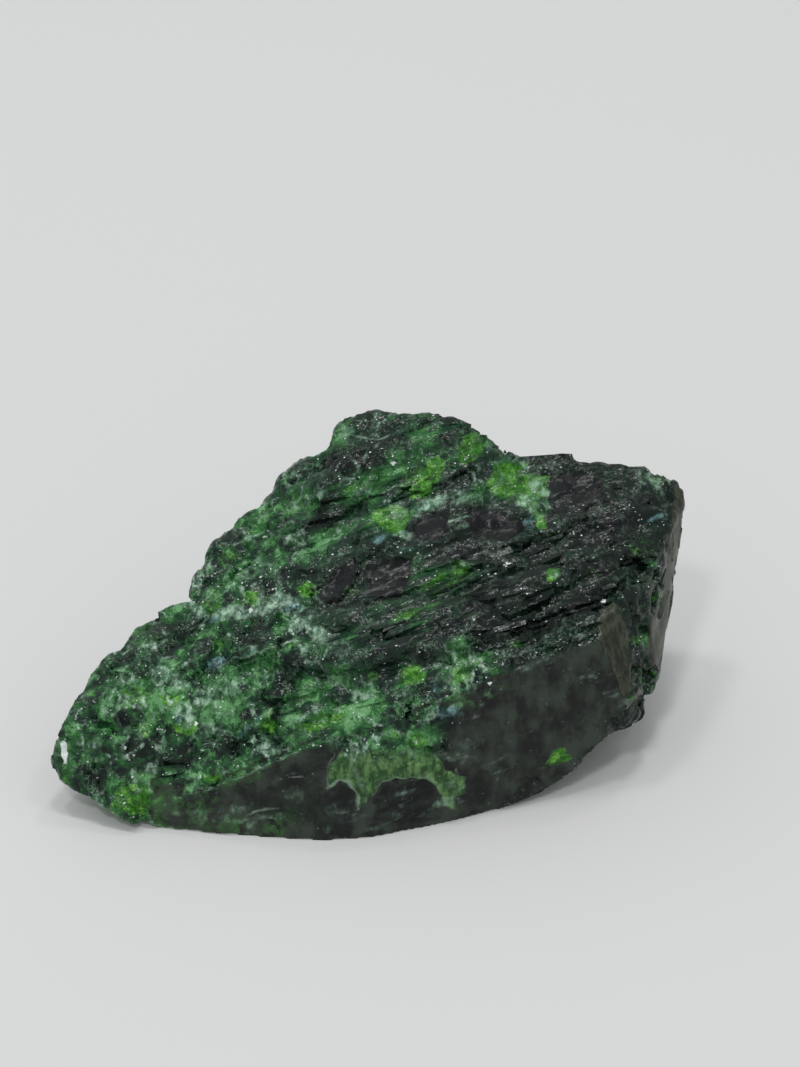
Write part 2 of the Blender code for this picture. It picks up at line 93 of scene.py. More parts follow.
# Single features of the surface, as ovals in the photograph's pixels: the middle, half the length, half the
# width, the slope in degrees and the strength
OVALS = {
    # vivid: vivid green crystal, with a painted glow of light through it
    "vivid": [
        (131, 799, 19, 16, 30, 1.0), (170, 698, 8, 7, 0, 1.0), (191, 727, 9, 6, 0, 0.9),
        (309, 589, 9, 8, 40, 0.9), (463, 677, 8, 7, 0, 1.0), (412, 673, 12, 9, 30, 0.9),
        (417, 478, 10, 16, 80, 0.6), (507, 478, 12, 8, 40, 0.6), (466, 447, 9, 8, 60, 0.6),
        (556, 575, 6, 5, 60, 0.8), (560, 760, 8, 5, 15, 0.8), (222, 640, 6, 8, 0, 0.6),
        (257, 530, 14, 12, 30, 0.4), (306, 726, 12, 7, 15, 0.8), (334, 720, 16, 8, 15, 0.85),
        (359, 699, 8, 8, 0, 0.6), (417, 741, 8, 9, 0, 1.0), (470, 664, 22, 12, 20, 0.55),
        (455, 700, 14, 8, 0, 0.5), (355, 486, 22, 8, 20, 0.5), (300, 500, 16, 9, 10, 0.45),
        (446, 580, 26, 11, 30, 0.6), (463, 572, 10, 12, 80, 0.6), (414, 611, 30, 9, 20, 0.5),
        (352, 590, 9, 7, 0, 0.5), (590, 575, 10, 6, 0, 0.25), (513, 643, 10, 6, 0, 0.6),
        (640, 548, 10, 16, 90, 0.35), (658, 597, 8, 8, 90, 0.6), (642, 640, 6, 20, 90, 0.7),
        (646, 674, 5, 14, 90, 0.5), (636, 700, 8, 12, 80, 0.35), (285, 640, 10, 8, 0, 0.5),
        (375, 675, 5, 5, 0, 0.7), (394, 735, 4, 3, 0, 1.0), (346, 422, 12, 8, 0, 0.3),
        (310, 455, 14, 10, 0, 0.25), (66, 775, 8, 7, 0, 0.5), (230, 560, 14, 10, 30, 0.5),
        (600, 468, 22, 5, 0, 0.3), (660, 478, 12, 8, 140, 0.5), (146, 730, 10, 8, 0, 0.5),
        (88, 690, 8, 10, 60, 0.4), (380, 705, 10, 8, 0, 0.3),
    ],
    "pale": [
        (170, 676, 22, 9, 160, 0.65), (184, 714, 13, 11, 150, 0.8), (240, 612, 40, 8, 8, 0.7),
        (285, 600, 18, 9, 0, 0.65), (296, 622, 14, 9, 60, 0.6), (314, 632, 6, 14, 60, 0.95),
        (196, 607, 12, 4, 160, 0.8), (212, 598, 10, 10, 60, 0.5), (262, 745, 13, 9, 160, 0.9),
        (271, 713, 6, 6, 0, 0.5), (398, 510, 12, 12, 40, 0.55), (402, 532, 5, 9, 80, 0.8),
        (430, 505, 16, 8, 30, 0.75), (459, 518, 10, 10, 60, 0.3), (458, 497, 16, 7, 15, 0.5),
        (527, 500, 9, 14, 80, 0.65), (540, 486, 9, 12, 80, 0.5), (536, 518, 8, 8, 60, 0.5),
        (316, 494, 13, 3, 15, 0.9), (360, 699, 7, 8, 80, 0.7), (462, 690, 20, 26, 80, 0.4),
        (452, 660, 10, 16, 80, 0.25), (450, 706, 14, 6, 0, 0.4), (455, 788, 11, 10, 0, 0.6),
        (556, 575, 6, 5, 60, 0.55), (256, 570, 26, 12, 40, 0.35), (300, 650, 18, 6, 15, 0.3),
        (220, 690, 26, 12, 10, 0.45), (134, 698, 12, 11, 0, 0.4), (345, 432, 14, 8, 0, 0.4),
        (298, 470, 10, 16, 70, 0.35), (655, 482, 14, 6, 140, 0.5), (110, 672, 10, 6, 45, 0.35),
        (448, 802, 16, 8, 10, 0.5), (345, 810, 12, 8, 60, 0.3), (222, 815, 34, 9, 8, 0.45),
        (612, 695, 9, 3, 0, 0.8), (292, 794, 14, 6, 10, 0.4), (336, 812, 8, 12, 80, 0.45),
        (330, 832, 8, 8, 0, 0.4), (380, 828, 20, 6, 5, 0.35), (262, 822, 22, 7, 12, 0.5),
        (404, 796, 22, 4, 20, 0.4), (190, 812, 20, 6, 15, 0.4), (500, 768, 6, 20, 90, 0.3),
        (582, 676, 3, 22, 88, 0.35), (596, 668, 3, 16, 88, 0.3), (474, 745, 4, 20, 86, 0.3),
        (300, 776, 5, 14, 80, 0.3), (350, 824, 14, 5, 30, 0.4), (400, 812, 16, 4, 12, 0.35),
        (296, 800, 18, 4, 24, 0.35), (430, 815, 12, 4, 15, 0.3), (545, 664, 40, 5, 18, 0.3),
        (470, 744, 6, 12, 90, 0.4), (454, 756, 6, 20, 80, 0.45), (620, 704, 6, 10, 90, 0.4),
        (340, 652, 14, 8, 10, 0.25), (475, 640, 10, 5, 0, 0.3), (160, 740, 12, 6, 30, 0.3),
    ],
    "blue": [
        (217, 664, 13, 6, 20, 0.9), (178, 720, 5, 6, 0, 0.9), (213, 619, 13, 4, 10, 0.8),
        (292, 608, 12, 7, 0, 0.6), (250, 726, 20, 4, 40, 0.7), (446, 712, 18, 8, 0, 0.75),
        (378, 537, 11, 6, 15, 0.7), (416, 546, 18, 8, 0, 0.45), (530, 526, 8, 10, 80, 0.7),
        (430, 690, 10, 14, 60, 0.5), (660, 520, 8, 24, 84, 0.5), (182, 780, 12, 5, 0, 0.5),
        (245, 612, 8, 6, 0, 0.4), (570, 522, 16, 8, 20, 0.35), (244, 655, 22, 3, 20, 0.6),
        (465, 725, 14, 10, 0, 0.3),
    ],
    "green": [
        (430, 450, 60, 30, 10, 0.35), (480, 484, 44, 22, 10, 0.4), (417, 476, 24, 34, 80, 0.9),
        (466, 448, 22, 20, 60, 0.8), (505, 480, 28, 20, 40, 0.8), (390, 518, 28, 18, 40, 0.7),
        (536, 495, 20, 26, 80, 0.5), (440, 465, 14, 30, 88, 0.6), (412, 673, 20, 14, 0, 0.6),
        (356, 486, 30, 10, 15, 0.5), (260, 560, 50, 40, 50, 0.5), (440, 590, 50, 24, 20, 0.6),
        (425, 608, 44, 11, 20, 0.6), (462, 676, 34, 36, 0, 0.8), (340, 650, 40, 16, 10, 0.3),
        (330, 700, 60, 24, 10, 0.45), (386, 742, 56, 22, 0, 0.8), (200, 700, 70, 40, 20, 0.5),
        (110, 720, 60, 40, 30, 0.35), (110, 760, 50, 30, -30, 0.3), (170, 790, 60, 16, 15, 0.4),
        (650, 650, 14, 40, 90, 0.5), (645, 682, 14, 30, 90, 0.9), (660, 480, 20, 12, 140, 0.4),
        (560, 470, 40, 6, 0, 0.3), (250, 640, 50, 20, 0, 0.2), (240, 826, 70, 14, 5, 1.0),
        (190, 812, 40, 10, 10, 0.7), (330, 440, 30, 30, 0, 0.15), (490, 808, 50, 8, 15, 0.5),
        (630, 560, 16, 40, 90, 0.3), (300, 500, 50, 30, 20, 0.3),
    ],
    # sparks: where the painted glints crowd
    "sparks": [
        (366, 437, 30, 4, 0, 1.0), (395, 464, 24, 12, 20, 0.7), (340, 420, 16, 12, 0, 0.6),
        (290, 570, 44, 30, 30, 0.8), (300, 470, 14, 24, 60, 0.5), (378, 538, 12, 7, 10, 1.0),
        (416, 546, 22, 10, 0, 1.0), (496, 677, 10, 10, 0, 1.0), (432, 732, 14, 9, 0, 1.0),
        (566, 646, 38, 5, 18, 1.0), (598, 674, 20, 4, 22, 1.0), (660, 530, 8, 34, 84, 1.0),
        (222, 690, 34, 20, 10, 0.8), (124, 746, 8, 6, 0, 1.0), (500, 566, 24, 8, 20, 0.6),
        (560, 600, 50, 12, 18, 0.5), (455, 640, 34, 10, 10, 0.5), (250, 625, 40, 14, 0, 0.7),
        (600, 560, 40, 20, 18, 0.3), (180, 700, 50, 40, 0, 0.4), (110, 740, 40, 40, 0, 0.35),
        (470, 690, 20, 24, 0, 0.5), (640, 640, 8, 30, 90, 0.7), (570, 510, 26, 10, 10, 0.5),
        (563, 645, 38, 5, 20, 1.0), (598, 673, 18, 5, 22, 1.0),
    ],
    "grainy": [
        (400, 445, 110, 44, 0, 0.4), (470, 680, 44, 40, 0, 1.0), (400, 715, 60, 26, 10, 1.0),
        (386, 745, 60, 26, 0, 1.0), (490, 480, 40, 24, 20, 0.6), (535, 498, 18, 30, 80, 0.7),
        (400, 515, 30, 20, 20, 0.6), (655, 480, 26, 14, 140, 0.7), (640, 640, 14, 44, 90, 0.8),
        (560, 650, 50, 10, 18, 0.5), (340, 690, 60, 40, 10, 0.7),
    ],
    # dark: near-black clear crystal, and painted shade in the hollows between lumps and under ledges
    "dark": [
        (478, 602, 20, 12, 30, 0.9), (500, 585, 12, 8, 40, 0.7), (602, 530, 40, 20, 15, 0.8),
        (600, 500, 24, 14, 0, 0.7), (575, 470, 30, 6, 0, 0.5), (620, 560, 30, 12, 18, 0.6),
        (400, 560, 60, 10, 15, 0.4), (470, 555, 50, 10, 15, 0.6), (500, 610, 70, 10, 18, 0.5),
        (640, 505, 16, 20, 60, 0.5), (540, 545, 30, 10, 15, 0.55), (600, 565, 30, 12, 15, 0.6),
        (640, 590, 10, 20, 80, 0.4), (565, 612, 40, 9, 18, 0.8), (520, 625, 40, 9, 15, 0.6),
        (450, 630, 40, 10, 10, 0.7), (420, 648, 20, 8, 0, 0.5), (180, 630, 44, 14, 12, 0.65),
        (235, 640, 20, 8, 10, 0.5), (124, 718, 11, 9, 0, 0.9), (128, 746, 16, 9, 0, 0.6),
        (156, 768, 28, 9, 5, 0.8), (250, 714, 14, 8, 20, 0.8), (350, 458, 46, 16, 15, 0.75),
        (380, 430, 30, 8, 0, 0.3), (300, 450, 12, 8, 40, 0.3), (322, 520, 34, 9, 25, 0.75),
        (430, 690, 14, 14, 60, 0.5), (285, 684, 11, 8, 0, 1.0), (446, 437, 4, 11, 90, 0.9),
        (452, 479, 22, 5, 30, 0.8), (300, 656, 14, 12, 60, 0.5), (380, 650, 30, 8, 5, 0.4),
        (350, 680, 20, 8, 0, 0.3), (240, 790, 30, 8, 22, 0.4), (90, 750, 14, 10, 60, 0.4),
        (130, 650, 30, 8, 45, 0.4), (510, 660, 24, 8, 10, 0.6), (340, 542, 34, 8, 20, 0.45),
        (290, 530, 20, 7, 20, 0.4), (650, 540, 8, 10, 60, 0.4), (590, 590, 26, 7, 18, 0.6),
    ],
}

# Features with a clear edge, as outlines in the photograph's pixels, each with a strength
OUTLINES = {
    "window": [
        (1.0, ((316, 603), (322, 588), (338, 568), (354, 555), (357, 566), (346, 586), (330, 600))),
        (0.8, ((364, 572), (382, 560), (418, 556), (412, 570), (404, 590), (382, 600), (366, 596))),
        (1.0, ((412, 530), (416, 520), (432, 513), (446, 518), (448, 532), (440, 542), (414, 541))),
        (1.0, (
            (471, 507), (500, 510), (512, 520), (522, 519), (525, 531), (508, 538), (478, 537), (464, 530),
        )),
        (0.9, ((551, 478), (564, 474), (602, 479), (608, 498), (588, 514), (562, 516), (549, 503))),
        (0.7, ((548, 608), (586, 596), (606, 590), (600, 602), (570, 616), (550, 617))),
    ],
    "smooth": [
        (1.0, (
            (150, 818), (185, 800), (240, 778), (300, 753), (334, 746), (344, 762), (380, 766), (426, 764),
            (446, 748), (456, 716), (492, 712), (494, 688), (520, 668), (560, 654), (602, 642), (610, 664),
            (618, 690), (612, 715), (590, 740), (574, 768), (530, 790), (500, 806), (452, 822), (400, 842),
            (330, 850), (240, 846), (180, 832),
        )),
    ],
    "broken": [
        (1.0, (
            (290, 748), (320, 738), (345, 726), (380, 716), (430, 706), (456, 704), (458, 716), (446, 748),
            (426, 764), (380, 766), (344, 762), (334, 746), (300, 753),
        )),
    ],
    "layer": [
        (1.0, (
            (341, 742), (372, 738), (400, 738), (424, 744), (436, 756), (442, 772), (466, 775), (465, 793),
            (453, 799), (456, 812), (446, 806), (440, 793), (429, 783), (412, 780), (394, 780), (378, 784),
            (370, 797), (362, 808), (357, 799), (352, 786), (341, 781), (328, 786), (332, 768), (337, 754),
        )),
    ],
    "column": [
        (1.0, (
            (597, 624), (601, 610), (611, 604), (624, 626), (632, 660), (634, 690), (624, 698), (613, 668),
        )),
        (1.0, (
            (682, 478), (687, 500), (682, 560), (676, 610), (664, 664), (650, 668), (648, 616), (660, 604),
            (668, 560), (673, 510), (677, 484),
        )),
    ],
    "lime": [
        (0.75, (
            (440, 452), (446, 457), (446, 468), (439, 482), (430, 487), (429, 496), (423, 501), (411, 499),
            (405, 489), (414, 478), (422, 475), (428, 466), (433, 457),
        )),
        (0.6, (
            (462, 433), (476, 432), (484, 439), (482, 452), (476, 463), (468, 468), (462, 461), (458, 449),
        )),
        (0.6, (
            (495, 464), (508, 461), (523, 468), (526, 480), (520, 489), (508, 499), (495, 496), (486, 488),
            (489, 475),
        )),
        (0.75, (
            (372, 518), (379, 508), (395, 502), (408, 505), (411, 514), (406, 530), (401, 538), (392, 530),
            (378, 527),
        )),
        (0.7, (
            (515, 480), (533, 475), (551, 475), (550, 496), (539, 499), (536, 511), (526, 511), (515, 499),
        )),
        (1.0, ((533, 516), (539, 511), (546, 518), (548, 528), (539, 530))),
        (1.0, ((548, 571), (553, 568), (561, 569), (559, 580), (551, 585), (548, 580))),
        (1.0, ((160, 694), (168, 691), (178, 693), (179, 701), (170, 706), (161, 703))),
        (1.0, ((174, 722), (184, 719), (196, 721), (201, 727), (195, 733), (182, 735), (174, 730))),
        (1.0, (
            (113, 794), (119, 787), (130, 785), (141, 787), (146, 796), (145, 807), (141, 816), (130, 813),
            (120, 809), (114, 803),
        )),
        (0.6, ((123, 691), (134, 687), (148, 688), (151, 697), (146, 707), (134, 712), (124, 704))),
        (0.7, ((265, 713), (273, 707), (279, 713), (279, 729), (271, 733), (263, 726))),
        (0.9, ((299, 588), (306, 582), (317, 585), (317, 594), (309, 599), (301, 596))),
        (0.7, ((209, 590), (220, 587), (224, 597), (223, 612), (215, 619), (206, 613), (202, 601))),
        (0.6, ((240, 587), (259, 590), (262, 601), (252, 607), (240, 602))),
        (0.6, ((202, 776), (215, 772), (224, 776), (223, 782), (209, 783))),
        (0.7, ((315, 707), (331, 716), (327, 729), (315, 735))),
        (0.9, ((405, 670), (420, 665), (426, 675), (420, 685), (405, 685))),
        (1.0, ((455, 670), (467, 672), (465, 682), (454, 685))),
        (0.9, ((550, 755), (570, 752), (572, 760), (555, 767))),
        (0.8, ((447, 780), (462, 777), (465, 790), (450, 792))),
    ],
    "scallop": [
        (1.0, (
            (318, 794), (341, 783), (350, 788), (356, 799), (358, 808), (354, 832), (336, 838), (310, 834),
        )),
        (1.0, (
            (372, 802), (379, 787), (394, 782), (412, 782), (429, 785), (439, 796), (444, 808), (440, 820),
            (410, 832), (374, 830),
        )),
        (0.8, (
            (240, 812), (262, 790), (290, 768), (324, 756), (330, 766), (322, 790), (322, 812), (300, 826),
            (262, 826),
        )),
    ],
}

# Thin features, as lines through the photograph's pixels, each with half its width and a strength
LINES = {
    # furrow: grooves, sunk into the skin and painted dark as their shade
    "furrow": [
        (1.5, 0.9, ((466, 634), (500, 628), (540, 618), (580, 606), (606, 596), (625, 581))),
        (1.2, 0.8, ((510, 634), (548, 622), (588, 611), (608, 604))),
        (1.3, 0.7, ((455, 593), (480, 578), (502, 570))),
        (1.4, 0.8, ((432, 489), (455, 478), (476, 469))),
        (1.2, 0.7, ((278, 535), (310, 525), (343, 513), (372, 495))),
        (1.2, 0.6, ((300, 502), (340, 499), (380, 493))),
        (1.6, 0.8, ((316, 604), (336, 600), (350, 582), (358, 570))),
        (1.6, 0.7, ((364, 606), (400, 594), (416, 588))),
        (1.8, 0.35, ((228, 776), (262, 762), (296, 748), (332, 734))),
        (1.6, 0.6, ((520, 600), (556, 590), (600, 575), (640, 560))),
        (1.6, 0.6, ((470, 560), (510, 548), (560, 530), (600, 516))),
        (1.6, 0.6, ((540, 655), (570, 640), (600, 626))),
        (1.6, 0.4, ((238, 664), (252, 658), (286, 648))),
        (1.8, 0.7, ((630, 604), (636, 640), (640, 684))),
    ],
    "white": [
        (2.6, 1.0, ((62, 744), (63, 755), (66, 765))),
    ],
    "vein": [
        (1.6, 0.8, ((326, 787), (341, 780), (350, 784), (357, 797), (360, 808))),
        (1.2, 0.7, ((372, 796), (380, 783), (396, 779), (414, 779), (430, 781), (441, 792), (446, 806))),
        (3.0, 0.5, ((352, 742), (352, 760), (358, 780), (364, 800))),
        (1.4, 0.5, ((336, 742), (332, 760), (328, 784))),
        (1.4, 0.5, ((304, 756), (306, 772), (302, 788))),
        (1.0, 0.6, ((150, 814), (185, 798), (230, 780), (268, 764), (300, 751), (340, 739))),
        (1.4, 0.6, ((236, 821), (256, 814), (274, 808))),
        (1.2, 0.5, ((246, 826), (262, 824), (270, 818))),
        (1.2, 0.4, ((282, 816), (296, 826), (306, 834))),
        (1.4, 0.5, ((500, 752), (501, 768), (500, 782))),
        (1.6, 0.45, ((448, 736), (452, 752), (458, 774))),
        (1.2, 0.4, ((472, 736), (476, 752))),
        (1.4, 0.4, ((376, 801), (392, 796), (404, 798), (416, 791))),
        (1.2, 0.7, ((220, 668), (246, 656), (286, 642))),
        (1.2, 0.6, ((338, 436), (362, 435), (390, 437))),
        (1.2, 0.5, ((274, 674), (284, 672), (298, 674))),
        (1.4, 0.6, ((306, 642), (316, 634), (340, 622))),
        (1.2, 0.4, ((444, 654), (444, 672), (445, 690))),
    ],
}

# Single bright spots, white chips and painted glints of light on facets: the middle in pixels and the radius
CHIPS_AND_GLINTS = [
    (124, 746, 1.8), (391, 464, 1.6), (470, 540, 1.4), (507, 562, 1.4), (602, 600, 2.2), (249, 609, 2.2),
    (366, 662, 1.4), (197, 723, 1.6), (489, 681, 1.6), (597, 637, 1.8),
]

# Single large crystals: the middle in pixels and the size in millimetres
LARGE_GRAINS = [
    (136, 800, 3.2), (170, 699, 1.7), (134, 700, 2.2), (192, 728, 1.7), (262, 746, 2.2), (272, 715, 1.7),
    (412, 675, 2.6), (463, 679, 1.6), (360, 702, 1.6), (309, 590, 1.8), (454, 788, 2.0), (556, 577, 1.4),
    (150, 732, 2.0), (214, 779, 2.0), (312, 632, 1.7), (430, 510, 1.5), (458, 520, 1.6), (530, 504, 1.8),
    (541, 488, 1.8), (398, 520, 1.8), (466, 450, 2.6), (236, 690, 2.4), (210, 686, 2.0), (104, 712, 2.6),
    (88, 744, 2.4), (182, 752, 2.6), (292, 664, 2.4), (300, 704, 2.2), (250, 590, 2.2), (212, 600, 2.0),
    (228, 644, 1.8), (330, 722, 1.8), (196, 790, 2.0), (166, 800, 1.8), (118, 676, 2.0),
]

# How much wider than its vivid mark the painted glow around it is, and how far past the aim a window still keeps
# splinters off
PAINTED_GLOW_SPREAD = 2.0
WINDOWS_AHEAD = 12.0

# How deep a mark reaches, in millimetres, and how soft an outline's edge is, in pixels
OVAL_DEEP = 4.5
OUTLINE_DEEP = 9.0
OUTLINE_EDGE = 4.0

# Where the torn layer fades out upwards, in pixels
LAYER_TOP = 736
LAYER_FADE = 28

# The noise that moves the marks: its size in millimetres, and the most that it moves them in pixels
WARP = ((3.0, 5.0), (0.9, 2.5))

# The skin's voxels and triangles, the angle in degrees of a crease, and the height below which it counts as base
SKIN_VOXEL = 0.22
SKIN_TRIANGLES = 190000
SKIN_CREASE = 28
FLAT_BASE = 0.06

# How sunk or raised its features are, how much calmer a window is and how high the steps on a cleavage are
WINDOW_SUNK = 0.2
WINDOW_CALM = 0.7
FURROW_SUNK = 0.55
LAYER_RAISED = 0.35
SMOOTH_STEPS = 0.16

# The plates get lower towards the thin left tip
TIP_X = -31.0
TIP_LENGTH = 8.0
TIP_LEAST = 0.25

# A broken surface is made of tilted plates: how much each stands out, how flat it is and how steep beside that
PLATE_RISE = 0.25
PLATE_FLAT = 0.3
PLATE_FALL = 0.5
LOT_TURNS = np.array(((12.9, 39.3, 73.2, 21.7), (78.2, 11.1, 52.2, 95.4), (37.7, 83.2, 9.2, 43.8)))
LOT_SPREAD = 4375.85

# Each kind of plate: its size across, how far it is drawn out along the grain, its lean and its lot
LARGE_PLATES = (2.2, 1.0, 0.9, 5.0)
SMALL_PLATES = (0.9, 1.0, 0.9, 35.0)
LONG_BOARDS = (1.7, 3.4, 1.2, 15.0)
THIN_BOARDS = (0.6, 2.6, 1.0, 25.0)
CLEAVAGE_STEPS = (2.4, 2.0, 1.2, 45.0)
PLATE_HEIGHTS = (0.85, 0.4)
BOARD_HEIGHTS = (0.8, 0.4)

# Where the granular left third ends, how far that edge wanders and how soft it is
GRANULAR_END = -5
GRANULAR_WANDER = 4
GRANULAR_BLEND = 5

# The lightness of the green: what each thing adds or takes away. A wave has its strength, size, stretch and
# lot.
TONE = 0.36
SPLINTERED_DARKER = 0.23
BROAD_WAVE = (0.42, 4.5, 2.0, 3.0)
NARROW_WAVE = (0.34, 1.6, 1.6, 9.0)
# The painted glow around the vivid crystals makes the green lighter
PAINTED_GLOW_LIGHTER = 0.16
GRANULAR_LIGHTER = 0.08
GREEN_LIGHTER = 0.22
RIGHT_DARKER = 0.32
RIGHT_FROM = 4
RIGHT_BLEND = 12
HIDDEN_LIGHTER = 0.16
HIDDEN_LEVEL = 0.6
HIDDEN_CONTRAST = 2.5
SCALLOP_DARK = 0.65

# Patches on the sides away from the photograph: the kind, the size, the lot and the level that they start at
HIDDEN_PATCHES = (
    ("vivid", 2.2, 21.0, 0.70),
    ("pale", 2.4, 33.0, 0.70),
    ("dark", 3.8, 45.0, 0.25),
    ("blue", 2.2, 57.0, 0.90),
)
PATCH_STRETCH = 1.6
PATCH_CONTRAST = 2.4

# Chance is the same in every run
SCATTER_SEED = 12
NOISE_SEED = 5

# The small crystals: how many forms they are picked from, and how each differs from the skin around it
FORMS = 36
CRYSTAL_RIPPLE = 0.45
CRYSTAL_TONES = 0.12
CRYSTAL_STRENGTHS = (0.75, 1.2)

# The grains, mostly of the left third: how many, and the least and greatest size. Then the share of them
# elsewhere, and how proud they stand, as a share of their size.
GRAIN_SIZES = [(130, 1.2, 2.0), (480, 0.7, 1.4), (700, 0.35, 0.7)]
GRAINS_ELSEWHERE = 0.08
GRAIN_CORNERS = 13
GRAIN_PROUD = (0.02, 0.10)
LARGE_GRAIN_PROUD = 0.2

# The splinters of the rest: how many, the least and greatest length, and the least and greatest width. Then how
# they lie, their depth and how far they are sunk, as shares of their width and depth, and how they are shortened
# where an end would stand out.
SPLINTER_SIZES = [(300, 3.0, 7.0, 1.0, 2.2), (500, 2.0, 4.5, 0.5, 1.0), (500, 1.0, 2.4, 0.25, 0.5)]
SPLINTERS_ELSEWHERE = 0.03
SPLINTER_CORNERS = (0.6, 0.6, 0.8)
SPLINTER_ASIDE = 0.07
SPLINTER_LIFT = (0.02, 0.04)
SPLINTER_ROLL = 0.45
SPLINTER_DEPTH = (0.6, 1)
SPLINTER_SUNK = (0.26, 0.48)
END_STANDS_OUT = 0.1
SHORTENED = 0.7
LEAST_SLIM = 2.2

# The colours, most as a dark and a light one that a pattern runs between
GREENS = (
    (0.05, (0.005, 0.012, 0.008, 1)),
    (0.35, (0.010, 0.031, 0.017, 1)),
    (0.56, (0.017, 0.074, 0.024, 1)),
    (0.78, (0.034, 0.140, 0.034, 1)),
    (1.0, (0.12, 0.30, 0.12, 1)),
)
CLEAVED = ((0.009, 0.0098, 0.0092, 1), (0.038, 0.050, 0.038, 1))
CLEAVED_GREEN = (0.036, 0.095, 0.030, 1)
# Near black, for clear deep crystal and for the painted shade in furrows and hollows
DEEP_AND_SHADE = ((0.0050, 0.0052, 0.0065, 1), (0.005, 0.011, 0.008, 1))
VIVID = ((0.010, 0.048, 0.006, 1), (0.036, 0.165, 0.012, 1))
# The light heart of the vivid green is a painted glow, as of light through thin crystal
VIVID_GLOW_HEART = (0.14, 0.37, 0.055, 1)
TORN = ((0.014, 0.050, 0.012, 1), (0.125, 0.26, 0.088, 1))
TORN_SHADE = (0.022, 0.066, 0.020, 1)
SAGE = ((0.035, 0.115, 0.055, 1), (0.42, 0.60, 0.46, 1))
TEAL = ((0.022, 0.070, 0.068, 1), (0.17, 0.31, 0.31, 1))
OLIVE = ((0.018, 0.023, 0.014, 1), (0.050, 0.058, 0.037, 1))
VEIN = (0.28, 0.40, 0.29, 1)
THREAD = (0.20, 0.33, 0.22, 1)
# The colours of the flecks, which are painted glints of light on tiny facets
PAINTED_GLINT = ((0.20, 0.32, 0.24, 1), (0.75, 0.82, 0.78, 1))
# The white of the chips, also used for the painted glints
CHIP_AND_GLINT = (0.72, 0.76, 0.73, 1)

# How fine the patterns are, in features to a millimetre, and how drawn out along the grain some are
DRAWN_OUT = (0.22, 1.0, 1.0)
CELLS = 1.5
FLAKES = 2.0
BODIES = 0.5
BODY_BEND = 1.4
SLIVERS = 2.6
SPARK_CELLS = 4.0
FLECKS = 4.6

# How strongly each pattern moves the tone: where the crystal splintered, and where it is granular
GRIT_SWING = (0.95, 1.8)
BODY_SWING = (0.25, 0.42)
CELL_SWING = 0.34
FINE_SWING = 0.18

# Flecks, which are painted glints: how few there are, how they crowd where the crystal sparkles, and their least
# and greatest size
FLECK_RARE = 0.980
FLECK_CROWD = 0.13
FLECK_SIZES = (0.22, 0.48)

# Roughness of the highest and lowest spots where it splintered and where it is granular, then of smooth faces
HIGH_SHINE = (0.15, 0.08)
LOW_SHINE = (0.28, 0.24)
SMOOTH_SHINE = (0.26, 0.30)
PALE_ROUGHNESS = 0.5
REFRACTION = 1.68
SPECULAR = 0.13

FLOOR_HALF = 3
FLOOR_BELOW = 0.00002
FLOOR_COLOUR = (0.63, 0.63, 0.62, 1)
FLOOR_ROUGHNESS = 0.6

# The lamps: name, place and width in metres, power in watts and colour. All are aimed a little above the floor.
LAMPS = (
    ("window", (-0.45, 0.50, 0.75), 0.90, 0.5, (0.99, 1.0, 1.0)),
    ("over", (0.02, 0.05, 0.80), 0.12, 0.9, (1.0, 1.0, 0.99)),
    ("key", (-0.20, 0.12, 0.75), 0.10, 0.7, (1.0, 0.99, 0.97)),
    ("back", (0.16, 0.32, 0.72), 0.10, 0.4, (1.0, 0.99, 0.98)),
    ("fill", (-0.14, -0.38, 0.70), 0.10, 1.05, (0.98, 0.99, 1.0)),
    ("side", (0.30, -0.06, 0.74), 0.10, 0.3, (0.99, 0.99, 1.0)),
)
LAMPS_AIM = Vector((0, 0, 0.01))
ROOM_COLOUR = (0.9, 0.92, 0.95, 1)
ROOM_STRENGTH = 0.62


def clear_scene():
    """Takes away whatever the scene holds at the start."""
    for thing in list(bpy.data.objects):
        bpy.data.objects.remove(thing)


def new_object(solid, name):
    """An object that holds a bmesh, which is freed."""
    mesh = bpy.data.meshes.new(name)
    solid.to_mesh(mesh)
    solid.free()
    thing = bpy.data.objects.new(name, mesh)
    bpy.context.scene.collection.objects.link(thing)
    return thing


def apply_modifiers(thing):
    bpy.context.view_layer.update()
    seen = thing.evaluated_get(bpy.context.evaluated_depsgraph_get())
    thing.data = bpy.data.meshes.new_from_object(seen)
    thing.modifiers.clear()


def merged_copy(node):
    """A copy of the crystal's solid, with its loose triangles joined."""
    solid = bmesh.new()
    solid.from_mesh(node.data)
    bmesh.ops.remove_doubles(solid, verts=solid.verts, dist=0.001 * MM)
    return solid


def seen_at(shape, pixel_x, pixel_y):
    """Where the photograph's pixel falls on the crystal and which way that place faces, or None beside it."""
    way = LOOK_AHEAD * FOCAL_PIXELS
    way = way + LOOK_RIGHT * (pixel_x - FRAME_WIDTH / 2) + LOOK_UP * (FRAME_HEIGHT / 2 - pixel_y)
    place, outward, _, _ = shape.ray_cast(EYE * MM, way.normalized())
    return (place / MM, outward) if place else None


def on_picture(points):
    """Where points fall in the photograph, in pixels, and how far ahead they are."""
    gap = points - np.array(EYE)
    ahead = gap @ np.array(LOOK_AHEAD)
    across = FRAME_WIDTH / 2 + FOCAL_PIXELS * (gap @ np.array(LOOK_RIGHT)) / ahead
    down = FRAME_HEIGHT / 2 - FOCAL_PIXELS * (gap @ np.array(LOOK_UP)) / ahead
    return np.stack((across, down), axis=1), ahead


def along_grain(points):
    """Points in the grain's own frame: along it, across it and up from it."""
    return points @ np.array(GRAIN_FRAME).T


def wave(points, size, stretch, shift):
    """Smooth noise of about that size, drawn out along the grain."""
    framed = along_grain(points) / np.array((size * stretch, size, size)) + shift
    return np.array([noise.noise(point) for point in framed])


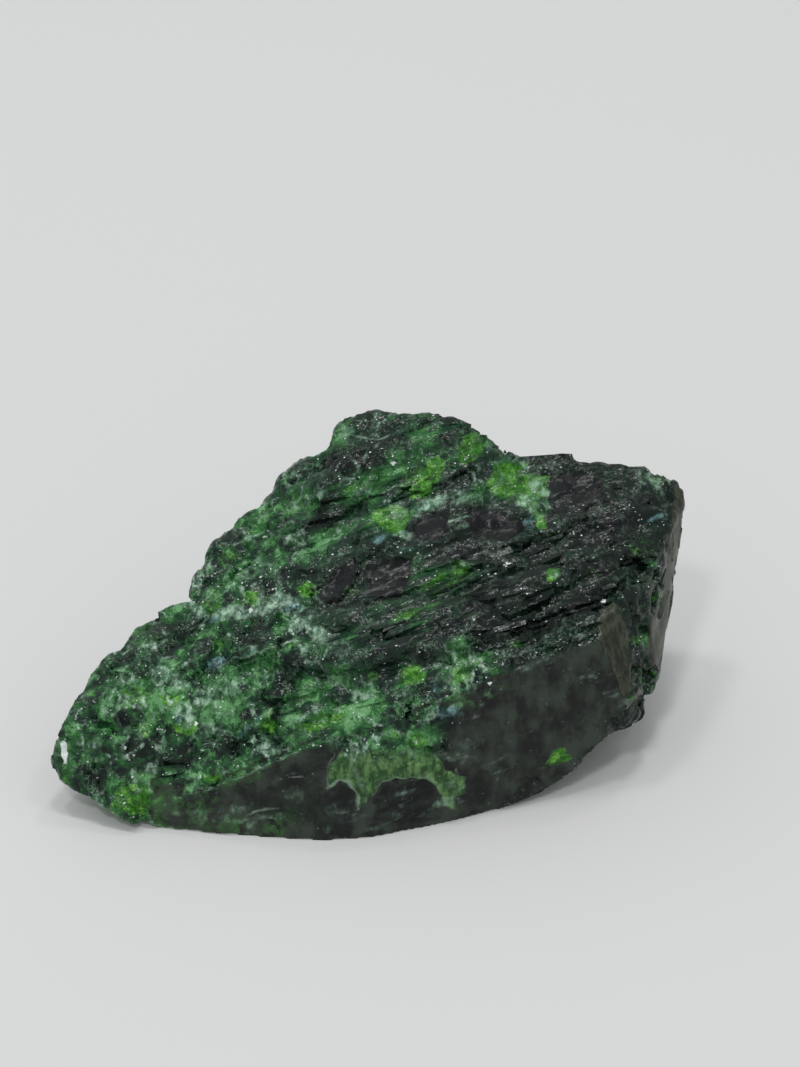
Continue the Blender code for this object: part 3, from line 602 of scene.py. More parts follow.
def warped(points, pixels):
    """Pixels moved a little by noise, so that no mark has an even edge."""
    moved = pixels.copy()
    for size, most in WARP:
        moved += most * np.array([noise.noise_vector(point)[:2] for point in points / size])
    return moved


def segment_gap(pixels, start, end):
    """The distance from each pixel to a straight line between two others."""
    start, end = np.array(start, float), np.array(end, float)
    way = end - start
    along = np.clip((pixels - start) @ way / (way @ way), 0, 1)
    return np.linalg.norm(pixels - start - along[:, None] * way, axis=1)


def is_inside(pixels, corners):
    """Whether each pixel is inside an outline."""
    inside = np.zeros(len(pixels), bool)
    for (x0, y0), (x1, y1) in zip(corners, corners[1:] + corners[:1]):
        if y0 == y1:
            continue
        crosses = (pixels[:, 1] > y0) != (pixels[:, 1] > y1)
        reach = x0 + (pixels[:, 1] - y0) * (x1 - x0) / (y1 - y0)
        inside ^= crosses & (pixels[:, 0] < reach)
    return inside


def line_gap(pixels, corners):
    """The distance from each pixel to a line with several corners."""
    return np.min([segment_gap(pixels, a, b) for a, b in zip(corners, corners[1:])], axis=0)


class Marks:
    """The single features of the crystal, and how strongly each kind of them shows at a place."""

    def __init__(self, shape):
        self.shape = shape
        self.front = DISTANCE + WINDOWS_AHEAD

    def depth(self, pixel_x, pixel_y):
        """How far ahead the crystal is at a pixel, or None beside it."""
        found = seen_at(self.shape, pixel_x, pixel_y)
        return on_picture(np.array([found[0]]))[1][0] if found else None

    def near(self, ahead, pixel_x, pixel_y, deep):
        """Near 1 at about the same distance as the mark's middle, so that no mark shows on the hidden side."""
        depth = self.depth(pixel_x, pixel_y)
        return np.clip(1.5 - np.abs(ahead - depth) / deep, 0, 1) if depth else 0.0

    def ovals(self, kind, pixels, ahead, spread=1.0):
        strength = np.zeros(len(pixels))
        for x, y, half_long, half_wide, slope, most in OVALS[kind]:
            gap = pixels - np.array((x, y))
            turn = radians(slope)
            along = (gap[:, 0] * cos(turn) - gap[:, 1] * sin(turn)) / half_long
            across = (gap[:, 0] * sin(turn) + gap[:, 1] * cos(turn)) / half_wide
            shown = np.clip(1.6 - 1.1 * np.hypot(along, across) / spread, 0, 1)
            strength = np.maximum(strength, most * shown * self.near(ahead, x, y, OVAL_DEEP))
        return strength

    def outlines(self, kind, pixels, ahead):
        strength = np.zeros(len(pixels))
        for most, corners in OUTLINES[kind]:
            gap = line_gap(pixels, corners + corners[:1])
            shown = np.clip(0.5 + np.where(is_inside(pixels, corners), gap, -gap) / OUTLINE_EDGE, 0, 1)
            x, y = np.mean(corners, axis=0)
            strength = np.maximum(strength, most * shown * self.near(ahead, x, y, OUTLINE_DEEP))
        return strength

    def over_window(self, point):
        """Whether a point covers one of the dark hollows in the photograph."""
        pixels, ahead = on_picture(np.array([point]))
        seen = [most for most, corners in OUTLINES["window"] if is_inside(pixels, corners)[0]]
        return bool(seen) and ahead[0] < self.front

    def lines(self, kind, pixels, ahead):
        strength = np.zeros(len(pixels))
        for half_wide, most, corners in LINES[kind]:
            shown = np.clip(1.5 - line_gap(pixels, corners) / half_wide, 0, 1)
            x, y = corners[len(corners) // 2]
            strength = np.maximum(strength, most * shown * self.near(ahead, x, y, OUTLINE_DEEP))
        return strength

    def chips(self, pixels, ahead):
        strength = np.zeros(len(pixels))
        for x, y, radius in CHIPS_AND_GLINTS:
            shown = np.clip(1.6 - np.hypot(*(pixels - np.array((x, y))).T) / radius, 0, 1)
            strength = np.maximum(strength, shown * self.near(ahead, x, y, OVAL_DEEP))
        return strength

    def at(self, points):
        """The strength of every kind of mark at some points."""
        pixels, ahead = on_picture(points)
        pixels = warped(points, pixels)
        found = {kind: self.ovals(kind, pixels, ahead) for kind in OVALS}
        found.update({kind: self.outlines(kind, pixels, ahead) for kind in OUTLINES})
        found.update({kind: self.lines(kind, pixels, ahead) for kind in LINES})
        # The white mark holds white chips and painted glints
        found["white"] = np.maximum(found["white"], self.chips(pixels, ahead))
        # A painted glow: a wider, lighter ring around each vivid mark
        found["halo"] = self.ovals("vivid", pixels, ahead, PAINTED_GLOW_SPREAD)
        found["vivid"] = np.maximum(found["vivid"], found["lime"])
        found["layer"] *= np.clip((pixels[:, 1] - LAYER_TOP) / LAYER_FADE, 0, 1)
        return found


def granular_share(points, marks):
    """Near 1 where the crystal broke into grains, as its left third did, and near 0 where it splintered."""
    edge = GRANULAR_END + GRANULAR_WANDER * wave(points, 5, 1, 7.0)
    left = np.clip((edge - points[:, 0]) / GRANULAR_BLEND + 0.5, 0, 1)
    return np.maximum(left, marks["grainy"])


def smooth_share(points, normals, marks):
    """Near 1 on the smooth cleavages and on the base, and less on the dark hollows."""
    share = np.maximum(marks["smooth"], WINDOW_CALM * marks["window"])
    share = np.maximum(share, marks["column"])
    for outward, offset, left, right in SMOOTH_FACES.values():
        gap = np.abs(points @ np.array(outward) - offset)
        turned = normals @ np.array(outward)
        within = (points[:, 0] > left) & (points[:, 0] < right)
        flat = within & (gap < SMOOTH_NEAR) & (turned > SMOOTH_TURN) & (marks["broken"] < 0.5)
        share = np.maximum(share, np.where(flat, 1.0, 0.0))
    return np.where(points[:, 2] < FLAT_BASE, 1.0, share)


def looks_at(points, normals, marks):
    """The amounts of each look at some points: how light the green is, and how much of each other colour."""
    looks = {kind: marks[kind] for kind in ("vivid", "pale", "blue", "sparks", "white", "layer")}
    # Dark: near-black clear crystal and windows, and painted shade in the furrows, in hollows and under ledges
    looks["dark"] = np.maximum.reduce(
        [marks["dark"], marks["window"], marks["furrow"], SCALLOP_DARK * marks["scallop"]]
    )
    looks["vein"] = marks["vein"]
    looks["smooth"] = smooth_share(points, normals, marks)
    looks["granular"] = granular_share(points, marks)
    looks["column"] = marks["column"]
    looks["lime"] = marks["lime"]
    right = np.clip((points[:, 0] - RIGHT_FROM) / RIGHT_BLEND, 0, 1)
    splintered = 1 - looks["granular"]
    hidden = np.clip(HIDDEN_LEVEL + HIDDEN_CONTRAST * (normals @ np.array(LOOK_AHEAD)), 0, 1)
    looks["tone"] = (
        TONE
        - SPLINTERED_DARKER * splintered
        + BROAD_WAVE[0] * wave(points, *BROAD_WAVE[1:])
        + NARROW_WAVE[0] * wave(points, *NARROW_WAVE[1:])
        # painted glow around the vivid crystals
        + PAINTED_GLOW_LIGHTER * marks["halo"]
        + GRANULAR_LIGHTER * looks["granular"]
        + GREEN_LIGHTER * marks["green"]
        - RIGHT_DARKER * right * (1 - marks["green"])
        + HIDDEN_LIGHTER * hidden
    )
    for kind, size, lot, level in HIDDEN_PATCHES:
        patches = np.clip(PATCH_CONTRAST * wave(points, size, PATCH_STRETCH, lot) - level, 0, 1)
        looks[kind] = np.maximum(looks[kind], hidden * patches)
    return looks


def store_looks(thing, looks):
    """Keeps the amounts on the mesh, where the material reads them."""
    for kind, amounts in looks.items():
        layer = thing.data.attributes.new(kind, "FLOAT", "POINT")
        layer.data.foreach_set("value", np.clip(amounts, 0, 1).astype(np.float32))


def mesh_points(thing):
    """A mesh's corners and outward directions, with the corners in millimetres."""
    count = len(thing.data.vertices)
    points = np.empty(count * 3, np.float32)
    normals = np.empty(count * 3, np.float32)
    thing.data.vertices.foreach_get("co", points)
    thing.data.vertex_normals.foreach_get("vector", normals)
    return points.reshape(-1, 3).astype(float) / MM, normals.reshape(-1, 3).astype(float)


def move_points(thing, points):
    thing.data.vertices.foreach_set("co", (points * MM).astype(np.float32).ravel())
    thing.data.update()


def plate_height(points, size, stretch, lean, shift):
    """Heights of a surface broken into flat plates of about that size, each with its own tilt and level."""
    framed = along_grain(points) / np.array((size * stretch, size, size)) + shift
    cells = np.array([[tuple(centre) for centre in noise.voronoi(point)[1]] for point in framed])
    gap = framed[:, None, :] - cells
    lots = np.modf(np.abs(np.sin(cells @ LOT_TURNS)) * LOT_SPREAD)[0]
    beside = np.maximum(np.linalg.norm(gap, axis=2) - PLATE_FLAT, 0)
    plates = lean * ((lots[..., :3] - 0.5) * gap).sum(axis=2) + PLATE_RISE * lots[..., 3] - PLATE_FALL * beside
    heights = plates.max(axis=1)
    return (heights - heights.mean()) * size


def make_skin(node, marks):
    """The crystal's own shape with a finer broken surface."""
    skin = new_object(merged_copy(node), "crystal_skin")
    shell = skin.modifiers.new("shell", "REMESH")
    shell.mode = "VOXEL"
    shell.voxel_size = SKIN_VOXEL * MM
    apply_modifiers(skin)
    points, normals = mesh_points(skin)
    found = marks.at(points)
    rough = 1 - smooth_share(points, normals, found)
    granular = granular_share(points, found)
    large = plate_height(points, *LARGE_PLATES)
    small = plate_height(points, *SMALL_PLATES)
    plates = PLATE_HEIGHTS[0] * large + PLATE_HEIGHTS[1] * small
    calm = np.clip((points[:, 0] - TIP_X) / TIP_LENGTH, TIP_LEAST, 1)
    long, thin = plate_height(points, *LONG_BOARDS), plate_height(points, *THIN_BOARDS)
    boards = BOARD_HEIGHTS[0] * long + BOARD_HEIGHTS[1] * thin
    height = rough * (calm * granular * plates + boards * (1 - granular))
    height += (1 - rough) * SMOOTH_STEPS * plate_height(points, *CLEAVAGE_STEPS)
    height -= FURROW_SUNK * found["furrow"] + WINDOW_SUNK * found["window"]
    height += LAYER_RAISED * found["layer"]
    points = points + normals * height[:, None]
    points[:, 2] = np.maximum(points[:, 2], 0)
    move_points(skin, points)
    fewer = skin.modifiers.new("fewer", "DECIMATE")
    fewer.ratio = min(1, SKIN_TRIANGLES / (2 * len(skin.data.polygons)))
    apply_modifiers(skin)
    skin.data.shade_smooth()
    skin.data.set_sharp_from_angle(angle=radians(SKIN_CREASE))
    return skin


def grain_form(rng):
    """A rounded crystal with flat facets, one across."""
    solid = bmesh.new()
    for _ in range(GRAIN_CORNERS):
        way = Vector((rng.gauss(0, 1), rng.gauss(0, 1), rng.gauss(0, 1))).normalized()
        solid.verts.new(way * rng.uniform(0.85, 1) / 2)
    return hull_mesh(solid)


def splinter_form(rng):
    """A cleavage splinter, one long, one wide and one deep, with its ends broken off aslant."""
    solid = bmesh.new()
    for end in (-1, 1):
        for flank in (-1, 1):
            for level in (-1, 1):
                long, wide, deep = [rng.uniform(least, 1) for least in SPLINTER_CORNERS]
                solid.verts.new((end * long, flank * wide, level * deep))
        solid.verts.new((end * 1.1, rng.uniform(-0.8, 0.8), rng.uniform(-0.6, 0.6)))
    return hull_mesh(solid)


def hull_mesh(solid):
    """The closed convex shape around a bmesh's corners."""
    hull = bmesh.ops.convex_hull(solid, input=solid.verts)
    left_over = set(hull["geom_interior"] + hull["geom_unused"])
    spare = [part for part in left_over if isinstance(part, bmesh.types.BMVert)]
    bmesh.ops.delete(solid, geom=spare, context="VERTS")
    bmesh.ops.recalc_face_normals(solid, faces=solid.faces)
    mesh = bpy.data.meshes.new("form")
    solid.to_mesh(mesh)
    solid.free()
    return mesh


def scattered_places(rng, solid, count, share):
    """Random places on a mesh with their outward directions, as many as the share of each allows."""
    triangles = list(solid.faces)
    picks = rng.choices(triangles, weights=[face.calc_area() for face in triangles], k=count)
    places = []
    for face in picks:
        first, second = rng.random(), rng.random()
        if first + second > 1:
            first, second = 1 - first, 1 - second
        a, b, c = (corner.co for corner in face.verts)
        places.append(((a + (b - a) * first + (c - a) * second) / MM, face.normal.copy()))
    points = np.array([place for place, _ in places])
    normals = np.array([outward for _, outward in places])
    chance = np.array([rng.random() for _ in places])
    kept = chance < share(points, normals)
    return [place for place, keep in zip(places, kept) if keep]


def spread_over(share, elsewhere):
    """A share that keeps a little elsewhere."""
    return elsewhere + (1 - elsewhere) * share


def add_form(solid, form, matrix):
    """Adds a form to a bmesh at a place, and leaves the form as it was."""
    form.transform(matrix)
    solid.from_mesh(form)
    form.transform(matrix.inverted())


def joined_crystals(name, solid, centres, counts, marks):
    """An object of many small crystals, each with the looks of its own place."""
    thing = new_object(solid, name)
    points, _ = mesh_points(thing)
    normals = np.repeat(np.array([outward for _, outward in centres]), counts, axis=0)
    looks = looks_at(points, normals, marks.at(points))
    rng = np.random.default_rng(SCATTER_SEED)
    looks["tone"] += np.repeat(rng.normal(0, CRYSTAL_TONES, len(centres)), counts)
    for kind in ("vivid", "pale", "dark"):
        looks[kind] *= np.repeat(rng.uniform(*CRYSTAL_STRENGTHS, len(centres)), counts)
    looks["ripple"] = np.full(len(points), CRYSTAL_RIPPLE)
    store_looks(thing, looks)
    points[:, 2] = np.maximum(points[:, 2], 0)
    move_points(thing, points)
    return thing


def make_grains(rng, base, marks):
    """The rounded grains, biggest in the left third."""
    forms = [grain_form(rng) for _ in range(FORMS)]
    solid = bmesh.new()
    centres, counts = [], []

    def share(points, normals):
        found = marks.at(points)
        granular = granular_share(points, found)
        return (1 - smooth_share(points, normals, found)) * spread_over(granular, GRAINS_ELSEWHERE)

    def add_grain(place, outward, size, proud):
        turn = Euler([rng.uniform(0, 2 * pi) for _ in range(3)]).to_matrix().to_4x4()
        shape = Matrix.Diagonal((size, size * rng.uniform(0.75, 1), size * rng.uniform(0.65, 1), 1))
        centre = place - outward * size * (0.5 - proud)
        form = rng.choice(forms)
        add_form(solid, form, Matrix.Scale(MM, 4) @ Matrix.Translation(centre) @ turn @ shape)
        centres.append((place, outward))
        counts.append(len(form.vertices))

    for x, y, size in LARGE_GRAINS:
        found = seen_at(marks.shape, x, y)
        if found:
            add_grain(found[0], found[1], size, LARGE_GRAIN_PROUD)
    for count, least, most in GRAIN_SIZES:
        for place, outward in scattered_places(rng, base, count, share):
            add_grain(place, outward, rng.uniform(least, most), rng.uniform(*GRAIN_PROUD))
    return joined_crystals("grains", solid, centres, counts, marks)


def make_splinters(rng, base, marks):
    """The splinters, which lie along the grain and overlap like broken boards."""
    forms = [splinter_form(rng) for _ in range(FORMS)]

    def share(points, normals):
        found = marks.at(points)
        splintered = 1 - granular_share(points, found)
        return (1 - smooth_share(points, normals, found)) * spread_over(splintered, SPLINTERS_ELSEWHERE)

    def stands_out(end, proud):
        """Whether a splinter's end would stand out past the crystal's edge."""
        nearest, way, _, _ = marks.shape.find_nearest(end * MM)
        return (end - nearest / MM).dot(way) > proud or marks.over_window(end)

    solid = bmesh.new()
    centres, counts = [], []
    for count, short, long, thin, thick in SPLINTER_SIZES:
        for place, outward in scattered_places(rng, base, count, share):
            length, width = rng.uniform(short, long), rng.uniform(thin, thick)
            flat = (GRAIN - outward * GRAIN.dot(outward)).normalized()
            lean = Matrix.Rotation(rng.gauss(0, SPLINTER_ASIDE), 3, outward) @ flat
            side = outward.cross(lean)
            lean = Matrix.Rotation(rng.gauss(*SPLINTER_LIFT), 3, side) @ lean
            up = Matrix.Rotation(rng.gauss(0, SPLINTER_ROLL), 3, lean) @ outward
            side = up.cross(lean)
            turn = Matrix((lean, side, up)).transposed().to_4x4()
            depth = width * rng.uniform(*SPLINTER_DEPTH)
            sunk = depth * rng.uniform(*SPLINTER_SUNK)
            centre = place - outward * sunk
            while length > LEAST_SLIM * width:
                reach = lean * length / 2
                if not any(stands_out(end, END_STANDS_OUT - sunk) for end in (centre + reach, centre - reach)):
                    break
                length *= SHORTENED
            else:
                continue
            form = rng.choice(forms)
            sized = turn @ Matrix.Diagonal((length / 2, width / 2, depth / 2, 1))
            add_form(solid, form, Matrix.Scale(MM, 4) @ Matrix.Translation(centre) @ sized)
            centres.append((place, outward))
            counts.append(len(form.vertices))
    return joined_crystals("splinters", solid, centres, counts, marks)


class Look:
    """A material's nodes, made one after another."""

    def __init__(self, name):
        self.material = bpy.data.materials.new(name)
        self.material.use_nodes = True
        self.tree = self.material.node_tree
        self.shader = self.tree.nodes["Principled BSDF"]

    def node(self, kind, inputs=None, **settings):
        made = self.tree.nodes.new(kind)
        for setting, value in settings.items():
            setattr(made, setting, value)
        for socket, value in (inputs or {}).items():
            self.put(made.inputs[socket], value)
        return made

    def put(self, socket, value):
        if isinstance(value, bpy.types.NodeSocket):
            self.tree.links.new(value, socket)
        else:
            socket.default_value = value

    def amount(self, name):
        return self.node("ShaderNodeAttribute", attribute_name=name).outputs["Fac"]

    def math(self, operation, first, second=0.0):
        return self.node("ShaderNodeMath", {0: first, 1: second}, operation=operation).outputs[0]

    def plus(self, first, second):
        return self.math("ADD", first, second)

    def times(self, first, second):
        return self.math("MULTIPLY", first, second)

    def rest_of(self, value):
        return self.math("SUBTRACT", 1.0, value)

    def swing(self, value, most):
        """A value around a half, made to swing around nought."""
        return self.times(self.math("SUBTRACT", value, 0.5), most)

    def between(self, value, low, high):
        """0 below low, 1 above high and smooth between."""
        return self.node(
            "ShaderNodeMapRange",
            {"Value": value, "From Min": low, "From Max": high},
            interpolation_type="SMOOTHSTEP",
        ).outputs[0]

    def noise(self, vector, scale, detail, roughness):
        return self.node(
            "ShaderNodeTexNoise", {"Vector": vector, "Scale": scale, "Detail": detail, "Roughness": roughness}
        ).outputs[0]

    def mix(self, share, first, second):
        made = self.node("ShaderNodeMix", data_type="RGBA")
        self.put(made.inputs[0], share)
        self.put(made.inputs[6], first)
        self.put(made.inputs[7], second)
        return made.outputs[2]

    def mix_value(self, share, first, second):
        made = self.node("ShaderNodeMix", data_type="FLOAT")
        self.put(made.inputs[0], share)
        self.put(made.inputs[2], first)
        self.put(made.inputs[3], second)
        return made.outputs[0]

    def scaled(self, vector, scale):
        return self.node("ShaderNodeVectorMath", {0: vector, 1: scale}, operation="MULTIPLY").outputs[0]

    def added(self, first, second):
        return self.node("ShaderNodeVectorMath", {0: first, 1: second}, operation="ADD").outputs[0]

    def stretched(self, vector, amount):
        return self.node("ShaderNodeVectorMath", {0: vector, "Scale": amount}, operation="SCALE").outputs[0]

    def cells(self, vector, scale):
        return self.node("ShaderNodeTexVoronoi", {"Vector": vector, "Scale": scale}).outputs["Color"]

    def swirls(self, vector, scale):
        """Noise with a value of its own in each direction."""
        made = self.node("ShaderNodeTexNoise", {"Vector": vector, "Scale": scale, "Detail": 3.0})
        return made.outputs["Color"]

    def parts(self, colour):
        return self.node("ShaderNodeSeparateColor", {0: colour}).outputs


class CrystalLook(Look):
    """The crystal's material, with the patterns that its colours and facets share.

    The place is in millimetres and turned to the grain, and upright is the object's own, in metres.
    """

    def __init__(self, name):
        super().__init__(name)
        self.upright = self.node("ShaderNodeTexCoord").outputs["Object"]
        turn = tuple(GRAIN_FRAME.to_euler())
        per_mm = (1 / MM, 1 / MM, 1 / MM)
        self.place = self.node(
            "ShaderNodeMapping", {"Vector": self.upright, "Rotation": turn, "Scale": per_mm}
        ).outputs[0]
        self.drawn_out = self.scaled(self.place, DRAWN_OUT)
        self.granular, self.smooth = self.amount("granular"), self.amount("smooth")
        cell_tones = self.mix(self.granular, self.cells(self.drawn_out, FLAKES), self.cells(self.place, CELLS))
        self.cell_a, self.cell_b = self.parts(cell_tones)[:2]
        self.ragged = self.noise(self.place, 0.9, 4.0, 0.55)
        streaks = self.noise(self.scaled(self.place, (0.3, 1.0, 1.0)), 1.5, 4.0, 0.55)
        self.fine = self.between(self.noise(self.place, 4.0, 4.0, 0.65), 0.38, 0.63)
        self.grit = self.by_grain(streaks, self.ragged)
        self.shift = self.plus(self.swing(self.grit, 2.4), self.swing(self.cell_a, 0.35))
        bend = self.swirls(self.place, 0.8)
        self.bent = self.added(self.place, self.stretched(bend, BODY_BEND))
        fibres = self.noise(self.scaled(self.upright, (1900, 1300, 1000)), 1.0, 4.0, 0.65)
        self.fibres = self.between(fibres, 0.36, 0.66)
        self.sage = self.mix(self.fibres, *SAGE)

    def by_grain(self, splintered, granular):
        """One value where the crystal splintered, and another where it is granular."""
        return self.mix_value(self.granular, splintered, granular)

    def share(self, kind, low, high, wander):
        """How much of a mark shows, with an edge that wanders with the grit."""
        return self.between(self.plus(self.amount(kind), self.times(self.shift, wander)), low, high)


def green_tone(look):
    """How light the green is, from the tone of the place and four patterns."""
    bodies = look.parts(look.cells(look.bent, BODIES))[0]
    tone = look.plus(look.amount("tone"), look.swing(look.grit, look.by_grain(*GRIT_SWING)))
    tone = look.plus(tone, look.swing(bodies, look.by_grain(*BODY_SWING)))
    tone = look.plus(tone, look.swing(look.cell_a, CELL_SWING))
    return look.plus(tone, look.swing(look.fine, FINE_SWING))


def broken_green(look, tone):
    """The green of broken crystal, from near black to light."""
    ramp = look.node("ShaderNodeValToRGB", {"Fac": tone})
    stops = ramp.color_ramp.elements
    for stop, (spot, shade) in zip((stops[0], stops[1]), (GREENS[0], GREENS[-1])):
        stop.position = spot
        stop.color = shade
    for spot, shade in GREENS[1:-1]:
        stops.new(spot).color = shade
    return ramp.outputs[0]


def cleaved_green(look, tone):
    """The cloudy dark green of the smooth cleavages."""
    clouds = look.between(look.noise(look.scaled(look.upright, (450, 450, 300)), 1.0, 6.0, 0.62), 0.36, 0.66)
    return look.mix(look.between(tone, 0.40, 1.10), look.mix(clouds, *CLEAVED), CLEAVED_GREEN)


def add_deep_and_shade(look, colour):
    """Clear crystal, which looks near black, and painted shade in the furrows, in hollows and under ledges."""
    return look.mix(look.share("dark", 0.25, 0.85, 0.5), colour, look.mix(look.granular, *DEEP_AND_SHADE))


def add_vivid(look, colour):
    """Thin vivid green crystal, with a painted glow that is lightest at its heart, as of light through thin
    crystal.
    """
    light = look.plus(look.times(look.cell_b, 0.3), look.times(look.fine, 0.15))
    light = look.plus(light, look.times(look.ragged, 0.55))
    light = look.plus(light, look.times(look.amount("lime"), 0.08))
    green = look.mix(look.between(light, 0.30, 0.60), *VIVID)
    green = look.mix(look.between(light, 0.56, 0.76), green, VIVID_GLOW_HEART)
    colour = look.mix(look.share("vivid", 0.25, 0.90, 0.7), colour, green)
    patches = look.times(look.share("lime", 0.10, 0.95, 0.8), look.between(look.amount("lime"), 0.05, 0.35))
    return look.mix(patches, colour, green)


def add_torn_layer(look, colour):
    """The torn green layer over the front."""
    threads = look.noise(look.scaled(look.upright, (1500, 1500, 350)), 1.0, 6.0, 0.70)
    torn = look.mix(look.between(threads, 0.36, 0.66), *TORN)
    torn = look.mix(look.between(look.ragged, 0.46, 0.64), torn, TORN_SHADE)
    return look.mix(look.share("layer", 0.30, 0.75, 0.25), colour, torn)


def add_pale(look, colour):
    """Bruised pale crystal: thin walls between the bodies, and the pale marks."""
    rims = look.node("ShaderNodeTexVoronoi", {"Vector": look.bent, "Scale": BODIES}, feature="DISTANCE_TO_EDGE")
    walls = look.rest_of(look.between(rims.outputs["Distance"], 0.01, 0.15))
    walls = look.times(walls, look.between(look.noise(look.place, 0.35, 3.0, 0.6), 0.46, 0.62))
    walls = look.times(walls, look.by_grain(0.15, 0.85))
    walls = look.times(walls, look.rest_of(look.smooth))
    colour = look.mix(look.times(walls, look.mix_value(look.fibres, 0.25, 1.0)), colour, look.sage)
    paleness = look.times(look.share("pale", 0.15, 1.0, 0.7), look.mix_value(look.smooth, 1.0, 0.5))
    paleness = look.times(paleness, look.between(look.amount("pale"), 0.0, 0.15))
    return look.mix(paleness, colour, look.sage)


def add_teal(look, colour):
    """Bluish bruised crystal."""
    return look.mix(look.share("blue", 0.40, 1.0, 0.8), colour, look.mix(look.fibres, *TEAL))


def add_olive(look, colour):
    """The striped olive faces of the right end."""
    stripes = look.noise(look.scaled(look.upright, (1700, 1700, 120)), 1.0, 4.0, 0.6)
    olive = look.mix(look.between(stripes, 0.38, 0.64), *OLIVE)
    return look.mix(look.between(look.amount("column"), 0.4, 0.6), colour, olive)


def add_veins(look, colour):
    """The veins that were marked, and fine threads between the crystals."""
    veins = look.between(look.plus(look.amount("vein"), look.times(look.shift, 0.4)), 0.2, 1.0)
    colour = look.mix(look.times(veins, 0.75), colour, VEIN)
    ridge = look.math("ABSOLUTE", look.math("SUBTRACT", look.noise(look.place, 1.3, 3.0, 0.5), 0.5))
    threads = look.rest_of(look.between(ridge, 0.004, 0.030))
    threads = look.times(threads, look.between(look.noise(look.place, 0.45, 2.0, 0.5), 0.46, 0.62))
    threads = look.times(threads, look.by_grain(0.2, 0.5))
    threads = look.times(threads, look.rest_of(look.smooth))
    return look.mix(threads, colour, THREAD)


def add_painted_glints(look, colour):
    """Painted glints: tiny bright flecks, as of light caught on small facets, scattered, and crowded where the
    crystal sparkles.
    """
    flecks = look.node(
        "ShaderNodeTexVoronoi", {"Vector": look.scaled(look.place, (0.7, 1.0, 1.0)), "Scale": FLECKS}
    )
    lot, bulk, shade = look.parts(flecks.outputs["Color"])
    crowd = look.times(look.amount("sparks"), FLECK_CROWD)
    chosen = look.math("GREATER_THAN", look.plus(lot, crowd), FLECK_RARE)
    size = look.mix_value(bulk, *FLECK_SIZES)
    small = look.rest_of(look.between(flecks.outputs["Distance"], look.times(size, 0.6), size))
    shown = look.times(look.times(chosen, small), look.rest_of(look.times(look.smooth, 0.85)))
    return look.mix(shown, colour, look.mix(shade, *PAINTED_GLINT))


def add_chips_and_glints(look, colour):
    """White chips, as at the left tip, and painted glints of light on facets."""
    chip = look.between(look.plus(look.amount("white"), look.times(look.shift, 0.4)), 0.35, 0.65)
    return look.mix(chip, colour, CHIP_AND_GLINT)


def facet_normals(look):
    """Outward directions that differ from facet to facet, so that each catches the light by itself."""
    facets = look.mix(look.granular, look.cells(look.drawn_out, SLIVERS), look.cells(look.place, CELLS))
    sparks = look.cells(look.place, SPARK_CELLS)
    swells = look.swirls(look.drawn_out, 0.9)
    broken = look.times(look.rest_of(look.smooth), look.amount("ripple"))
    broken = look.times(broken, look.by_grain(0.45, 1.0))
    outward = look.node("ShaderNodeNewGeometry").outputs["Normal"]
    for random_way, amount in (
        (facets, look.times(broken, 0.60)),
        (sparks, look.plus(look.times(broken, 0.30), 0.02)),
        (swells, look.times(look.smooth, 0.08)),
    ):
        lean = look.node("ShaderNodeVectorMath", {0: random_way, 1: (0.5, 0.5, 0.5)}, operation="SUBTRACT")
        outward = look.added(outward, look.stretched(lean.outputs[0], amount))
    return look.node("ShaderNodeVectorMath", {0: outward}, operation="NORMALIZE").outputs[0]


def facet_roughness(look):
    """Shiny facets, duller on the smooth cleavages and dull where the crystal is bruised pale."""
    roughness = look.mix_value(look.fine, look.by_grain(*HIGH_SHINE), look.by_grain(*LOW_SHINE))
    roughness = look.mix_value(look.smooth, roughness, look.mix_value(look.amount("dark"), *SMOOTH_SHINE))
    return look.mix_value(look.share("pale", 0.4, 0.9, 0.5), roughness, PALE_ROUGHNESS)


def crystal_material():
    """Diopside: near black where it is clear and deep, and green, pale or white where it is broken up, with
    painted shade, glints and glow.
    """
    look = CrystalLook("green_diopside")
    tone = green_tone(look)
    colour = look.mix(look.smooth, broken_green(look, tone), cleaved_green(look, tone))
    for add_colour in (
        add_deep_and_shade, add_vivid, add_torn_layer, add_pale, add_teal, add_olive, add_veins, add_painted_glints, add_chips_and_glints,
    ):
        colour = add_colour(look, colour)
    look.put(look.shader.inputs["Base Color"], colour)
    look.put(look.shader.inputs["Normal"], facet_normals(look))
    look.put(look.shader.inputs["Roughness"], facet_roughness(look))
    look.shader.inputs["IOR"].default_value = REFRACTION
    look.shader.inputs["Specular IOR Level"].default_value = SPECULAR
    return look.material


def plain_material(name, colour, roughness):
    look = Look(name)
    look.shader.inputs["Base Color"].default_value = colour
    look.shader.inputs["Roughness"].default_value = roughness
    return look.material


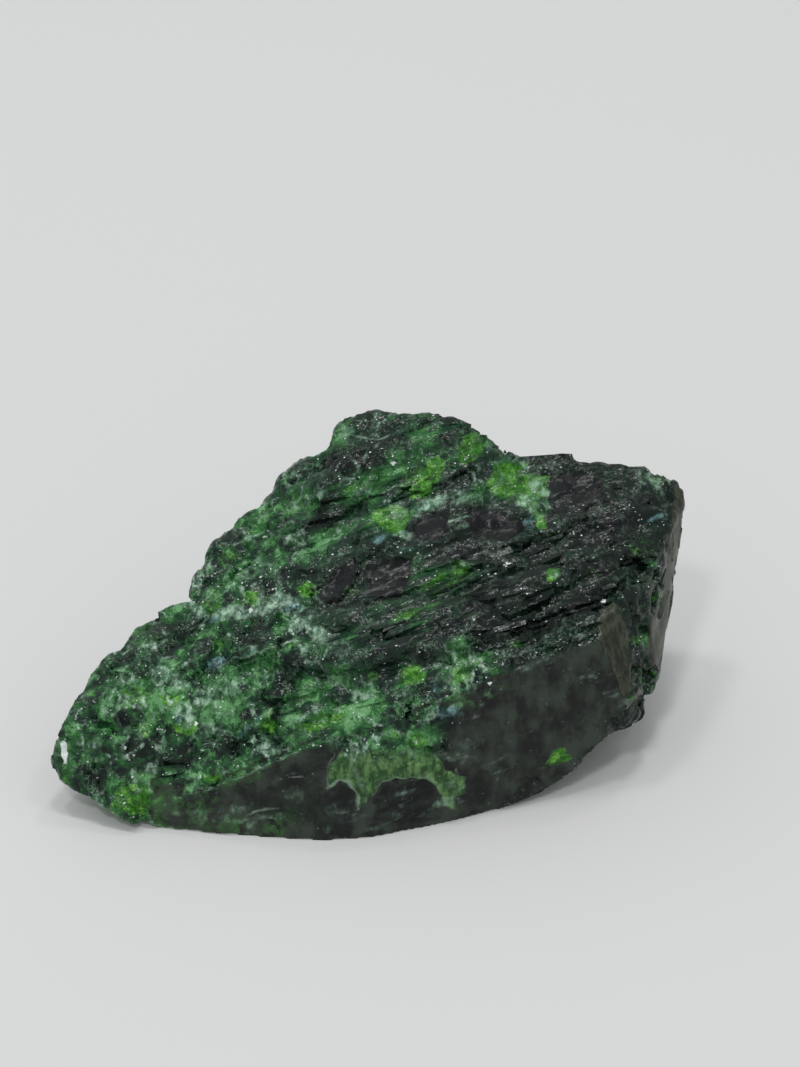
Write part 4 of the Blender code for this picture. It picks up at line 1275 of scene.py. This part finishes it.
def make_floor():
    solid = bmesh.new()
    bmesh.ops.create_grid(solid, x_segments=1, y_segments=1, size=FLOOR_HALF)
    floor = new_object(solid, "floor")
    floor.location.z = -FLOOR_BELOW
    floor.data.materials.append(plain_material("pale_floor", FLOOR_COLOUR, FLOOR_ROUGHNESS))


def add_area_light(name, place, width, power, colour):
    """A soft round lamp, aimed at the crystal."""
    light = bpy.data.lights.new(name, "AREA")
    light.shape = "DISK"
    light.size = width
    light.energy = power
    light.color = colour
    lamp = bpy.data.objects.new(name, light)
    lamp.location = place
    lamp.rotation_euler = (LAMPS_AIM - Vector(place)).to_track_quat("-Z", "Y").to_euler()
    bpy.context.scene.collection.objects.link(lamp)


def light_scene():
    for lamp in LAMPS:
        add_area_light(*lamp)
    world = bpy.data.worlds.new("studio")
    world.use_nodes = True
    world.node_tree.nodes["Background"].inputs["Color"].default_value = ROOM_COLOUR
    world.node_tree.nodes["Background"].inputs["Strength"].default_value = ROOM_STRENGTH
    bpy.context.scene.world = world
    bpy.context.scene.view_settings.view_transform = "Standard"


def place_camera():
    lens = bpy.data.cameras.new("photograph")
    lens.sensor_width = SENSOR
    lens.lens = FOCAL_PIXELS / FRAME_HEIGHT * SENSOR
    lens.clip_start = 0.01
    camera = bpy.data.objects.new("photograph", lens)
    camera.location = EYE * MM
    camera.rotation_euler = (pi / 2 - ELEVATION, 0, 0)
    bpy.context.scene.collection.objects.link(camera)
    bpy.context.scene.camera = camera


def dress(node, material):
    """Makes the crystal's pieces and sets each in the crystal's place."""
    base = merged_copy(node)
    base.faces.ensure_lookup_table()
    marks = Marks(BVHTree.FromBMesh(base))
    rng = random.Random(SCATTER_SEED)
    skin = make_skin(node, marks)
    points, normals = mesh_points(skin)
    looks = looks_at(points, normals, marks.at(points))
    looks["ripple"] = np.ones(len(points))
    store_looks(skin, looks)
    pieces = [skin, make_grains(rng, base, marks), make_splinters(rng, base, marks)]
    base.free()
    for piece in pieces:
        piece.data.materials.clear()
        piece.data.materials.append(material)
        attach(piece, "root")
        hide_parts("diopside_crystal")


clear_scene()
noise.seed_set(NOISE_SEED)
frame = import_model()
dress(frame["nodes"]["diopside_crystal"], crystal_material())
make_floor()
light_scene()
place_camera()
